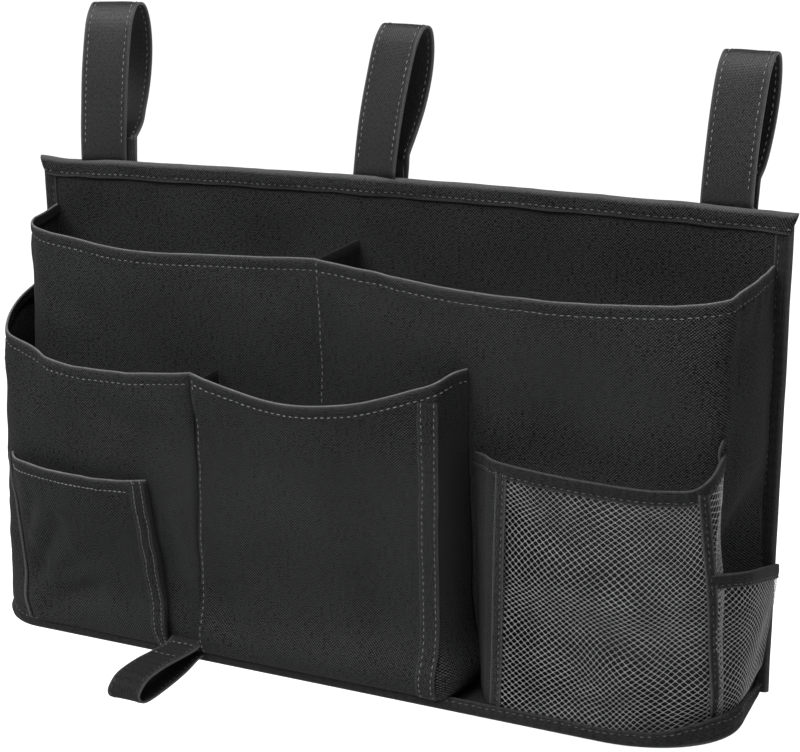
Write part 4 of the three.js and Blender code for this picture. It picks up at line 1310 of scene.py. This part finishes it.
class OBJECT_OT_caddy_rear_pocket(bpy.types.Operator):
    """Sews the rear pocket's wall, its hem, its seam and its divider"""

    bl_idname = "object.caddy_rear_pocket"
    bl_label = "Rear Pocket"

    def execute(self, context):
        seam = ((REAR_SEAM_X, -20), (REAR_SEAM_X, -300), 2.6, 1.3)
        creases = (seam, ((-225, -60), (-150, -95), 9, 0.9), ((-60, -70), (-30, -40), 8, 0.8),
                   ((60, -60), (10, -45), 9, 0.8), ((190, -70), (215, -150), 10, 0.8))
        wall = wall_of(rear_surface)
        loose = folds(1, 3.8, 2.4, creases)

        def lift(spot):
            pinned = max(bump(spot.x, CENTRE_END_X + 2, 14), bump(spot.x, 213, 15))
            slack = 2.4 * smoothstep(-spot.x, 226, 237) * bump(spot.z, -48, 32)
            return loose(spot) * (1 - pinned * smoothstep(-spot.z, 75, 95)) - slack

        dressed = dress(wall, lift)
        piece = sew_wall("rear_pocket_wall", wall, dressed, 0, 1, materials["cloth"])
        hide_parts("rear_pocket_wall_left", "rear_pocket_wall_right")

        mouth = mouth_line(wall, dressed, 260, 2, -2)
        down = [dressed(REAR_SEAM_SHARE + 0.004, lerp(-REAR_MOUTH_DROP - 1, -250, s), 0.5)
                for s in shares(120)]
        sew_stitches("rear_pocket_stitching", [mouth, down], 5, thread="dull_thread")

        front = -(REAR_DEPTH - 1.6)
        surface = skin(divider_plan(REAR_SEAM_X, REAR_MOUTH_DROP + 2, lambda h: front,
                                    lambda h: -SEAM_GAP))
        inner = wall_of(surface)
        divider = sew_wall("rear_pocket_divider_cloth", inner, dress(inner, folds(4, 0.5, 0.2)),
                           0, 1, materials["lining"], thickness=0.7, hemmed=False, pace=4,
                           plain_rows=40)
        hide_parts("rear_pocket_divider")
        return {"FINISHED"}


def vertical_strip(dressed, run_of, low, high, lift, count=50):
    """Stations up a wall along run_of(share), with the strip's side and outward ways."""
    stations = []
    for share in shares(count):
        level = lerp(low, high, share)
        spot, out = dressed(run_of(share), level, lift)
        ahead, _out = dressed(run_of(share) + 0.01, level, lift)
        side = (ahead - spot).normalized()
        stations.append((spot, side, out))
    return stations


def along_strip(stations, offset, lift=0.45):
    return [(spot + side * offset + out * lift, out) for spot, side, out in stations]


class OBJECT_OT_caddy_left_pocket(bpy.types.Operator):
    """Sews the left pocket's wall from the panel's edge to the seam, and the divider behind it"""

    bl_idname = "object.caddy_left_pocket"
    bl_label = "Left Pocket"

    def execute(self, context):
        wall = wall_of(left_surface)
        dressed = dress(wall, left_folds)
        piece = sew_wall("left_pocket_wall", wall, dressed, 0, 1, materials["cloth"], pace=3.0)
        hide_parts("left_pocket_gusset", "left_pocket_front")
        mouth = mouth_line(wall, dressed, 160, 2, -1)
        sew_stitches("left_pocket_stitching", [mouth], 7, thread="dull_thread")

        drop = FRONT_MOUTH_DROP + HEM_HEIGHT / 2

        def front_at(h):
            return -FOOT_FRONT - FRONT_SEAM_LEAN * h + 1.6

        def rear_at(h):
            return end_on_rear(FRONT_SEAM_X, drop, h)

        inner = wall_of(skin(divider_plan(FRONT_SEAM_X, drop, front_at, rear_at)))
        divider = sew_wall("front_pocket_divider_cloth", inner, dress(inner, folds(6, 0.4, 0.2)),
                           0, 1, materials["lining"], thickness=0.7, hemmed=False, pace=4,
                           plain_rows=36)
        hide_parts("front_pocket_divider")
        return {"FINISHED"}


class OBJECT_OT_caddy_patch_pocket(bpy.types.Operator):
    """Sews the patch pocket onto the left pocket, with its piping and its slanting strip"""

    bl_idname = "object.caddy_patch_pocket"
    bl_label = "Patch Pocket"

    def execute(self, context):
        wall = patch_wall(left_folds)
        creases = (
            ((-214, -262), (-184, -212), 8, 5.2), ((-205, -276), (-150, -246), 9, 5.4),
            ((-221, -228), (-200, -196), 7, 3.6), ((-128, -272), (-140, -215), 8, 1.6),
            ((-196, -250), (-150, -226), 7, 3.0),
        )
        hanging = folds(3, 2.6, 1.8, creases, 3.0)

        def patch_folds(spot):
            b = clamp((spot.z - BAND_LIP) / (-PATCH_MOUTH_DROP - BAND_LIP))
            corner = lerp(PATCH_CORNER_FOOT_X, PATCH_CORNER_TOP_X, b)
            return hanging(spot) * smoothstep(spot.x, corner, corner + 11)

        dressed = dress(wall, patch_folds)
        piece = sew_wall("patch_pocket_cloth", wall, dressed, 0.0, 1.0, materials["cloth"],
                         pace=2.6, plain_rows=34)
        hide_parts("patch_pocket_front")
        high = -PATCH_MOUTH_DROP - 0.3
        middle = 1 - 0.5 * PATCH_STRIP_WIDTH / (PATCH_TOP_X - PATCH_CORNER_TOP_X)
        strip = vertical_strip(dressed, lambda s: middle, BAND_LIP - 1, high, 0.9)
        profile = flat_profile(PATCH_STRIP_WIDTH, crown=0.25, groove=0.35, inset=2.0, count=12,
                               worn_and_highlit=0.1)
        edge = sweep("patch_pocket_edge_cloth", strip, profile, materials["cloth"], 0.8)
        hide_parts("patch_pocket_edge_strip")

        def piping_run(share):
            return 0.017 + 0.007 * noise.noise(Vector((6 * share, 2.0, 7.0)))

        piping = vertical_strip(dressed, piping_run, BAND_LIP - 1, high, 0.8, 80)
        width = 2.2
        # Painted highlight along the piping's crest, in place of its edges' lightening.
        profile = [(a, b, 0.3 * bell(0.5 + a / width))
                   for a, b, _worn_and_highlit in flat_profile(width, crown=1.4)]
        cord = sweep("patch_pocket_corner_piping_cloth", piping, profile, materials["cloth"], 0.8)
        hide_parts("patch_pocket_corner_piping")
        mouth = [dressed(u, high - HEM_STITCH, STITCH_LIFT) for u in shares(60)[1:-5]]
        sew_stitches("patch_pocket_mouth_stitching", [mouth], 8, pitch=3.2)
        stitch = -2.5
        lines = [along_strip(strip, stitch), along_strip(strip, 2.4)]
        spot, side, out = strip[-1]
        box = [(spot + side * lerp(stitch, 3.4, s) - UP * 1.2 + out * 0.5, out)
               for s in shares(8)]
        across = [(spot - UP * 6.0, out) for spot, out in box]
        sew_stitches("patch_pocket_stitching", lines + [box, across], 9, pitch=3.2,
                     thread="dull_thread")
        return {"FINISHED"}


class OBJECT_OT_caddy_centre_pocket(bpy.types.Operator):
    """Sews the centre pocket's wall and the double-stitched strip at its corner"""

    bl_idname = "object.caddy_centre_pocket"
    bl_label = "Centre Pocket"

    def execute(self, context):
        creases = (
            ((FRONT_SEAM_X + 2, -225), (-45, -280), 10, 5.0), ((20, -200), (55, -270), 15, 3.4),
            ((-60, -120), (-20, -165), 12, 2.8), ((FRONT_SEAM_X + 4, -130), (-40, -215), 11, 3.0),
            ((80, -110), (80, -270), 4, 1.4), ((FRONT_SEAM_X + 3, -180), (-60, -240), 7, 2.2),
        )
        wall = wall_of(centre_surface)
        dressed = dress(wall, folds(8, 3.2, 2.2, creases, 8.0))
        piece = sew_wall("centre_pocket_wall", wall, dressed, 0, 1, materials["cloth"], pace=3.0)
        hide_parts("centre_pocket_front", "centre_pocket_gusset")

        knot_width = 0.2 * CENTRE_CORNER_X
        strip_share = 1 / 7 * CENTRE_STRIP_WIDTH / knot_width
        middle = CENTRE_CORNER_SHARE - strip_share / 2
        top = wall.mouth(middle) - HEM_STITCH - 2.5
        strip = vertical_strip(dressed, lambda s: middle, BAND_LIP - 1, top, 0.9, 70)
        profile = flat_profile(CENTRE_STRIP_WIDTH, crown=0.3, groove=0.4, inset=2.2, worn_and_highlit=0.1)
        edge = sweep("centre_pocket_edge_cloth", strip, profile, materials["cloth"], 0.9)
        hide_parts("centre_pocket_edge_strip")
        mouth = mouth_line(wall, dressed, 170, 1, -1)
        seam = [dressed(0.008, lerp(wall.mouth(0) - 3, -283, s), 0.55) for s in shares(120)]
        sew_stitches("centre_pocket_mouth_stitching", [mouth], 10)
        lines = [seam, along_strip(strip, -CENTRE_STRIP_STITCH),
                 along_strip(strip, CENTRE_STRIP_STITCH)]
        sew_stitches("centre_pocket_stitching", lines, 11, thread="dull_thread")
        return {"FINISHED"}


def mouth_stations(surface, start, end, count):
    """Stations just over a mouth, with the ways up the wall and out of it."""
    rise = 0.2
    stations = []
    for share in shares(count):
        u = lerp(start, end, share)
        spot = surface(u, 1)
        up = (spot - surface(u, 0.96)).normalized()
        stations.append((spot + up * rise, up, facing(surface, u, 0.995)))
    return stations


class OBJECT_OT_caddy_net_pocket(bpy.types.Operator):
    """Sews the net pocket: gusset, nets, corner tape and the tape round its mouth"""

    bl_idname = "object.caddy_net_pocket"
    bl_label = "Net Pocket"

    def execute(self, context):
        under_tape = wall_of(net_surface, 5.0)
        cloth = dress(under_tape, folds(12, 1.0, 0.35))
        gusset = sew_wall("net_pocket_gusset_cloth", under_tape, cloth, 0, NET_GUSSET_SHARE + 0.012,
                          materials["cloth"], thickness=0.8, hemmed=False, pace=3, plain_rows=44)
        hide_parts("net_pocket_gusset")

        def net_lift(spot):
            fade = smoothstep(-spot.z, NET_MOUTH_DROP + 4, NET_MOUTH_DROP + 30)
            wide = noise.noise(Vector((spot.x / 34, spot.y / 34, spot.z / 40)) + Vector((5, 2, 7)))
            return 3.0 * wide * fade * smoothstep(spot.z, FLOOR, FLOOR + 35)

        dressed = dress(under_tape, net_lift)
        front = knit_net("net_pocket_net_front_mesh", under_tape, dressed, NET_GUSSET_SHARE,
                         NET_TAPE_SHARE, 2)
        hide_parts("net_pocket_net_front")
        side = knit_net("net_pocket_net_side_mesh", under_tape, dressed, NET_TAPE_SHARE, 1.0, 3)
        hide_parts("net_pocket_net_side")

        corner = vertical_strip(dressed, lambda s: NET_TAPE_SHARE, POCKET_FOOT + 2,
                                under_tape.mouth(NET_TAPE_SHARE), 0.7, 60)
        profile = flat_profile(CORNER_TAPE_WIDTH, crown=0.5, groove=0.2, inset=1.4, count=8,
                               worn_and_highlit=0.3)
        tape = sweep("net_pocket_corner_tape_cloth", corner, profile, materials["tape"], 0.9)
        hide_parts("net_pocket_corner_tape")
        border = vertical_strip(cloth, lambda s: NET_GUSSET_SHARE + 0.004, POCKET_FOOT + 2,
                                under_tape.mouth(NET_GUSSET_SHARE), 0.7, 60)
        profile = flat_profile(7.0, crown=0.3, groove=0.25, inset=1.8, count=8, worn_and_highlit=0.3)
        sweep("net_pocket_border_cloth", border, profile, materials["cloth"], 0.8)

        top = mouth_stations(net_surface, 0.004, 0.996, 150)
        mouth = bind_mouth("net_pocket_top_tape_cloth", top, ripple(0.3, 14, 6, 1.0))
        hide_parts("net_pocket_top_tape")
        end, up, out = top[-1]
        tab = [(end + up * lerp(-6, 9, s) - out * (0.5 + 1.6 * bell(s)), out.cross(up), out)
               for s in shares(12)]
        profile = flat_profile(TAPE_WIDTH, crown=0.4, inset=2.0, count=6, worn_and_highlit=0.2)
        sweep("net_pocket_tape_end", tab, profile, materials["tape"], 1.3)
        lines = [tape_line(top), along_strip(corner, 0.0, 0.9), along_strip(border, 1.6, 0.6)]
        sew_stitches("net_pocket_stitching", lines, 13, thread="tape_thread")
        return {"FINISHED"}


class OBJECT_OT_caddy_side_pocket(bpy.types.Operator):
    """Sews the side pocket's net and tape onto the corner"""

    bl_idname = "object.caddy_side_pocket"
    bl_label = "Side Pocket"

    def execute(self, context):
        wall = wall_of(side_surface, 5.0)

        def lift(spot):
            return 1.2 * noise.noise(Vector((spot.x / 30, spot.y / 26, spot.z / 30)))

        net = knit_net("side_pocket_net_mesh", wall, dress(wall, lift), 0.0, 1.0, 5)
        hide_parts("side_pocket_net")
        top = mouth_stations(side_surface, 0.0, 1.0, 70)
        mouth = bind_mouth("side_pocket_tape_cloth", top)
        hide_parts("side_pocket_tape")
        sew_stitches("side_pocket_stitching", [tape_line(top)], 17, thread="tape_thread")
        return {"FINISHED"}


LOOP_SHARES = (
    (0, 0), (-0.04, 0.3), (-0.03, 0.6), (0.07, 0.86), (0.27, 0.97), (0.5, 1), (0.76, 0.965),
    (0.95, 0.84), (1, 0.66), (0.88, 0.44), (0.6, 0.26),
)
LOOP_TOP_SHARE = 5 / len(LOOP_SHARES)
LOOP_STEPS = 110


def joint_at(name):
    return Vector(next(joint for joint in frame["joints"] if joint["name"] == name)["pos_m"])


def loop_line(strap):
    """The line of a strap's loop from the hem over the rail and down to its tail."""
    hinge = hem_top(strap.x) + STRAP_CLEARANCE
    knots = [Vector((0, STRAP_FRONT + d * strap.depth, hinge + z * strap.height))
             for d, z in LOOP_SHARES]
    knots.append(Vector((0, STRAP_BACK + 0.4, CLOSURE_RISE)))
    return knots


def strap_station(strap, spot, along, share):
    """A station of the strap: its place, the way across it and the way out of it."""
    flat = 1.0
    if share > LOOP_TOP_SHARE:
        flat = smoothstep(spot.z, CLOSURE_RISE / 3, 0.35 * strap.height)
    turn = math.radians(strap.twist) * flat
    lean = strap.lean * (max(spot.z, 0) / strap.height) ** 1.2
    shift = strap.shift * smoothstep(share, 0.4, 0.8)
    back = spot.y - STRAP_FRONT
    forward = -0.5 * STRAP_WIDTH * abs(math.sin(turn))
    place = Vector((strap.x + lean + shift - back * math.sin(turn),
                    STRAP_FRONT + forward + back * math.cos(turn), spot.z))
    side = Vector((math.cos(turn), math.sin(turn), 0))
    run = Vector((-along.y * math.sin(turn), along.y * math.cos(turn), along.z)).normalized()
    return place, side, side.cross(run).normalized()


def strap_stations(strap, start, end):
    knots = loop_line(strap)
    stations = []
    count = round(LOOP_STEPS * (end - start))
    for step in shares(count):
        share = lerp(start, end, step)
        along = (spline(knots, share + 0.002) - spline(knots, share - 0.002)).normalized()
        stations.append(strap_station(strap, spline(knots, share), along, share))
    return stations


class OBJECT_OT_caddy_hanging_straps(bpy.types.Operator):
    """Sews the hanging straps, each with its loop, its tail and its hook tape"""

    bl_idname = "object.caddy_hanging_straps"
    bl_label = "Hanging Straps"

    def execute(self, context):
        for number, strap in enumerate(STRAPS):
            self.sew_strap(strap, number)
        return {"FINISHED"}

    def sew_strap(self, strap, number):
        down = Vector((0, 0, -1))
        hem = hem_top(strap.x)
        root = []
        for share in shares(40):
            level = lerp(-STRAP_TAIL_DROP, hem - 1.2, share)
            y = lerp(STRAP_ROOT, STRAP_FRONT, smoothstep(level, hem - 14.5, hem - 11))
            root.append((Vector((strap.x, y, level)), Vector((1, 0, 0)), Vector(FORWARD)))
        rise = strap_station(strap, Vector((0, STRAP_FRONT, hem + 0.5)), UP, 0.0)
        front = [*root, rise, *strap_stations(strap, 0.012, LOOP_TOP_SHARE)]
        back = strap_stations(strap, LOOP_TOP_SHARE, 1.0)
        for share in shares(34)[1:]:
            level = lerp(CLOSURE_RISE - 0.5, -STRAP_TAIL_DROP, share)
            back.append(strap_station(strap, Vector((0, STRAP_BACK, level)), down, 1.0))
        profile = flat_profile(STRAP_WIDTH, crown=0.25, groove=0.22, inset=STRAP_STITCH, count=22,
                               worn_and_highlit=0.4)
        hinge_at = joint_at(f"{strap.name}_strap_swing")
        crest_at = joint_at(f"{strap.name}_strap_opening")
        bends = (
            ("front", front, "root", f"{strap.name}_strap", hinge_at - UP * 0.002,
             hinge_at + UP * 0.006, (f"{strap.name}_strap_anchor", f"{strap.name}_strap_front")),
            ("tail", back, f"{strap.name}_strap", f"{strap.name}_strap_end", crest_at,
             crest_at + Vector((0, 0.45 * strap.depth, -0.3 * strap.height)) * MM,
             (f"{strap.name}_strap_tail",)),
        )
        reaches = ((-math.inf, hem - 14), (hem + 9, math.inf))
        for part, stations, body, next_body, start, end, nodes in bends:
            piece = sweep(f"{strap.name}_strap_{part}_cloth", stations, profile,
                          materials["strap"], STRAP_THICKNESS, None,
                          ripple(0.35, 26, 16, number))
            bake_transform(piece)
            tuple(start)
            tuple(end)
            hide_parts(*nodes)
            lines = edge_lines(stations, STRAP_WIDTH / 2 - STRAP_STITCH, STRAP_STITCH_LIFT, reaches)
            threads = sew_stitches(f"{strap.name}_strap_{part}_stitching", lines, 20 + number, None)
            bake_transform(threads)
            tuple(start)
            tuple(end)
        self.sew_closure(strap)

    def sew_closure(self, strap):
        low = 2 - STRAP_TAIL_DROP
        hook_x = strap.x + strap.shift
        for kind, y, body, high, x in (
            ("loop", LOOP_TAPE_DEPTH, "root", hem_top(strap.x) - 16.6, strap.x),
            ("hook", HOOK_TAPE_DEPTH, f"{strap.name}_strap_end", CLOSURE_RISE - 1, hook_x),
        ):
            way = Vector((0, 1, 0)) if kind == "loop" else Vector(FORWARD)
            stations = [(Vector((x, y + CLOSURE_THICKNESS / 2, lerp(low, high, s))),
                         Vector((1, 0, 0)), way) for s in shares(30)]
            profile = flat_profile(CLOSURE_WIDTH, groove=0.12, inset=1.8, count=16, worn_and_highlit=0.0)
            piece = sweep(f"{strap.name}_strap_{kind}_tape", stations, profile, materials["hook"],
                          CLOSURE_THICKNESS * 0.85, body)
            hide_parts(f"{strap.name}_strap_{kind}_patch")


FOOT_SHARES = (
    (0, 0.92), (0.1, 0.78), (0.3, 0.86), (0.6, 1.02), (0.85, 1), (0.97, 0.72), (1, 0.45),
    (0.95, 0.14), (0.8, 0), (0.55, 0), (0.28, 0.08), (0.1, 0.24), (0, 0.26),
)


class OBJECT_OT_caddy_bottom_strap(bpy.types.Operator):
    """Sews the folded strap to the front of the base"""

    bl_idname = "object.caddy_bottom_strap"
    bl_label = "Bottom Strap"

    def execute(self, context):
        level = FLOOR + 1.0
        front = -(BASE_DEPTH + 0.6)
        knots = [Vector((FOOT_STRAP_X - reach * FOOT_STRAP_SKEW, front - reach * FOOT_STRAP_REACH,
                         level + rise * FOOT_STRAP_LOOP)) for reach, rise in FOOT_SHARES]
        stations = []
        for share in shares(110):
            along = (spline(knots, share + 0.003) - spline(knots, share - 0.003)).normalized()
            side = Vector((1, 0, 0))
            stations.append((spline(knots, share), side, side.cross(along).normalized()))
        profile = flat_profile(FOOT_STRAP_WIDTH, crown=0.1, groove=0.2, inset=FOOT_STRAP_STITCH,
                               count=16)
        piece = sweep("bottom_strap_cloth", stations, profile, materials["tape"], 1.3,
                      "bottom_strap", ripple(0.2, 22, 14, 3.0))
        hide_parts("bottom_strap")
        lines = edge_lines(stations, FOOT_STRAP_WIDTH / 2 - FOOT_STRAP_STITCH,
                           FOOT_STRAP_STITCH_LIFT)
        sew_stitches("bottom_strap_edge_stitching", lines, 31, "bottom_strap",
                     thread="tape_thread")
        across = []
        for spot, way, out in (stations[7], stations[20]):
            across.append([(spot + way * lerp(-9, 9, s) - out * 0.75, -out) for s in shares(8)])
        sew_stitches("bottom_strap_stitching", across, 32, "bottom_strap")
        return {"FINISHED"}


CAMERA_AT = Vector((437.3, -930.9, 197.5))
CAMERA_TURN = math.radians(24.67)
CAMERA_TILT = math.radians(17.23)
CAMERA_ROLL = math.radians(-0.75)
CAMERA_LENS = 77.67

# The floor and the lights: places and sizes in metres, from the frame's origin
FLOOR_HALF = 14.0
KEY_PLACE = (-1.3, -1.9, 2.6)
KEY_SPREAD = math.radians(34)
LAMP_TARGET = (0, 0, -0.2)
WORLD_GLOW = 0.28


class OBJECT_OT_caddy_stage(bpy.types.Operator):
    """Adds the floor, the lights and the camera"""

    bl_idname = "object.caddy_stage"
    bl_label = "Stage"

    def execute(self, context):
        stage = context.scene.caddy_stage
        self.add_floor(stage)
        self.add_camera(context)
        self.add_lights(context, stage)
        return {"FINISHED"}

    def add_floor(self, stage):
        bm = bmesh.new()
        level = in_frame((0, 0, FLOOR - HANG_ROOM)).z
        bmesh.ops.create_grid(bm, x_segments=1, y_segments=1, size=FLOOR_HALF,
                              matrix=Matrix.Translation((0, 0, level)))
        mesh = bpy.data.meshes.new("floor")
        bm.to_mesh(mesh)
        bm.free()
        material, tree, shader = new_material("pale floor", 0.9, 0.0, 0.1)
        soft = patchy(tree, 2.0, 0.985, 1.0)
        shade = colour_mix(tree, soft, (0.88, 0.88, 0.88), tuple(stage.floor_colour))
        tree.links.new(shade, shader.inputs["Base Color"])
        mesh.materials.append(material)
        floor = bpy.data.objects.new("floor", mesh)
        bpy.context.scene.collection.objects.link(floor)

    def add_camera(self, context):
        data = bpy.data.cameras.new("photo camera")
        data.lens = CAMERA_LENS
        data.sensor_width = 36
        data.sensor_fit = "HORIZONTAL"
        data.clip_end = 60
        camera = bpy.data.objects.new("photo camera", data)
        context.scene.collection.objects.link(camera)
        back = Vector((math.sin(CAMERA_TURN) * math.cos(CAMERA_TILT),
                       -math.cos(CAMERA_TURN) * math.cos(CAMERA_TILT), math.sin(CAMERA_TILT)))
        right = Vector((math.cos(CAMERA_TURN), math.sin(CAMERA_TURN), 0))
        up = back.cross(right)
        turned = right * math.cos(CAMERA_ROLL) + up * math.sin(CAMERA_ROLL)
        upright = up * math.cos(CAMERA_ROLL) - right * math.sin(CAMERA_ROLL)
        camera.matrix_world = (Matrix.Translation(in_frame(CAMERA_AT))
                               @ Matrix((turned, upright, back)).transposed().to_4x4())
        context.scene.camera = camera

    def add_lamp(self, context, name, kind, energy, place, target):
        light = bpy.data.lights.new(name, kind)
        light.energy = energy
        lamp = bpy.data.objects.new(name, light)
        context.scene.collection.objects.link(lamp)
        lamp.location = place
        way = Vector(target) - Vector(place)
        lamp.rotation_euler = way.to_track_quat("-Z", "Y").to_euler()
        return light

    def add_lights(self, context, stage):
        key = self.add_lamp(context, "key light", "SUN", stage.key, KEY_PLACE, (0, 0, 0))
        key.angle = KEY_SPREAD
        for name, power, size, place in (
            ("fill light", stage.fill, 1.4, (2.0, -0.5, 0.6)),
            ("top light", 0.6 * stage.fill, 0.7, (-0.2, -0.6, 0.5)),
            ("overhead light", 2.2 * stage.fill, 1.2, (0.1, -0.55, 1.25)),
        ):
            light = self.add_lamp(context, name, "AREA", power, place, LAMP_TARGET)
            light.size = size
        world = bpy.data.worlds.new("soft studio")
        world.use_nodes = True
        tree = world.node_tree
        glow = tree.nodes["Background"]
        glow.inputs["Color"].default_value = (1, 1, 1, 1)
        glow.inputs["Strength"].default_value = WORLD_GLOW
        paper = add_node(tree, "ShaderNodeBackground", {"Color": (1, 1, 1, 1), "Strength": 1.0})
        seen = add_node(tree, "ShaderNodeLightPath").outputs["Is Camera Ray"]
        both = add_node(tree, "ShaderNodeMixShader", {0: seen, 1: glow.outputs[0],
                        2: paper.outputs[0]})
        tree.links.new(both.outputs[0], tree.nodes["World Output"].inputs["Surface"])
        context.scene.world = world
        context.scene.view_settings.view_transform = "Standard"


class VIEW3D_PT_caddy(bpy.types.Panel):
    """Lists the caddy's sizes and the operators that sew it"""

    bl_label = "Bedside Caddy"
    bl_space_type = "VIEW_3D"
    bl_region_type = "UI"
    bl_category = "Caddy"

    def draw(self, context):
        for group in ("caddy_cloth", "caddy_stitches", "caddy_net", "caddy_stage"):
            settings = getattr(context.scene, group)
            box = self.layout.box()
            for name in settings.__annotations__:
                box.prop(settings, name)
        for operator in OPERATORS:
            self.layout.operator(operator.bl_idname)


OPERATORS = (
    OBJECT_OT_caddy_materials,
    OBJECT_OT_caddy_back_panel,
    OBJECT_OT_caddy_top_hem,
    OBJECT_OT_caddy_side_bindings,
    OBJECT_OT_caddy_base,
    OBJECT_OT_caddy_rear_pocket,
    OBJECT_OT_caddy_left_pocket,
    OBJECT_OT_caddy_patch_pocket,
    OBJECT_OT_caddy_centre_pocket,
    OBJECT_OT_caddy_net_pocket,
    OBJECT_OT_caddy_side_pocket,
    OBJECT_OT_caddy_hanging_straps,
    OBJECT_OT_caddy_bottom_strap,
    OBJECT_OT_caddy_stage,
)
SETTINGS = {
    "caddy_cloth": CaddyClothSettings,
    "caddy_stitches": CaddyStitchSettings,
    "caddy_net": CaddyNetSettings,
    "caddy_stage": CaddyStageSettings,
}
CLASSES = (*SETTINGS.values(), *OPERATORS, VIEW3D_PT_caddy)


def register():
    for entry in CLASSES:
        bpy.utils.register_class(entry)
    for name, group in SETTINGS.items():
        setattr(bpy.types.Scene, name, PointerProperty(type=group))


def unregister():
    for name in SETTINGS:
        delattr(bpy.types.Scene, name)
    for entry in reversed(CLASSES):
        bpy.utils.unregister_class(entry)


def main():
    register()
    for operator in OPERATORS:
        group, name = operator.bl_idname.split(".")
        getattr(getattr(bpy.ops, group), name)()


if __name__ == "__main__":
    main()
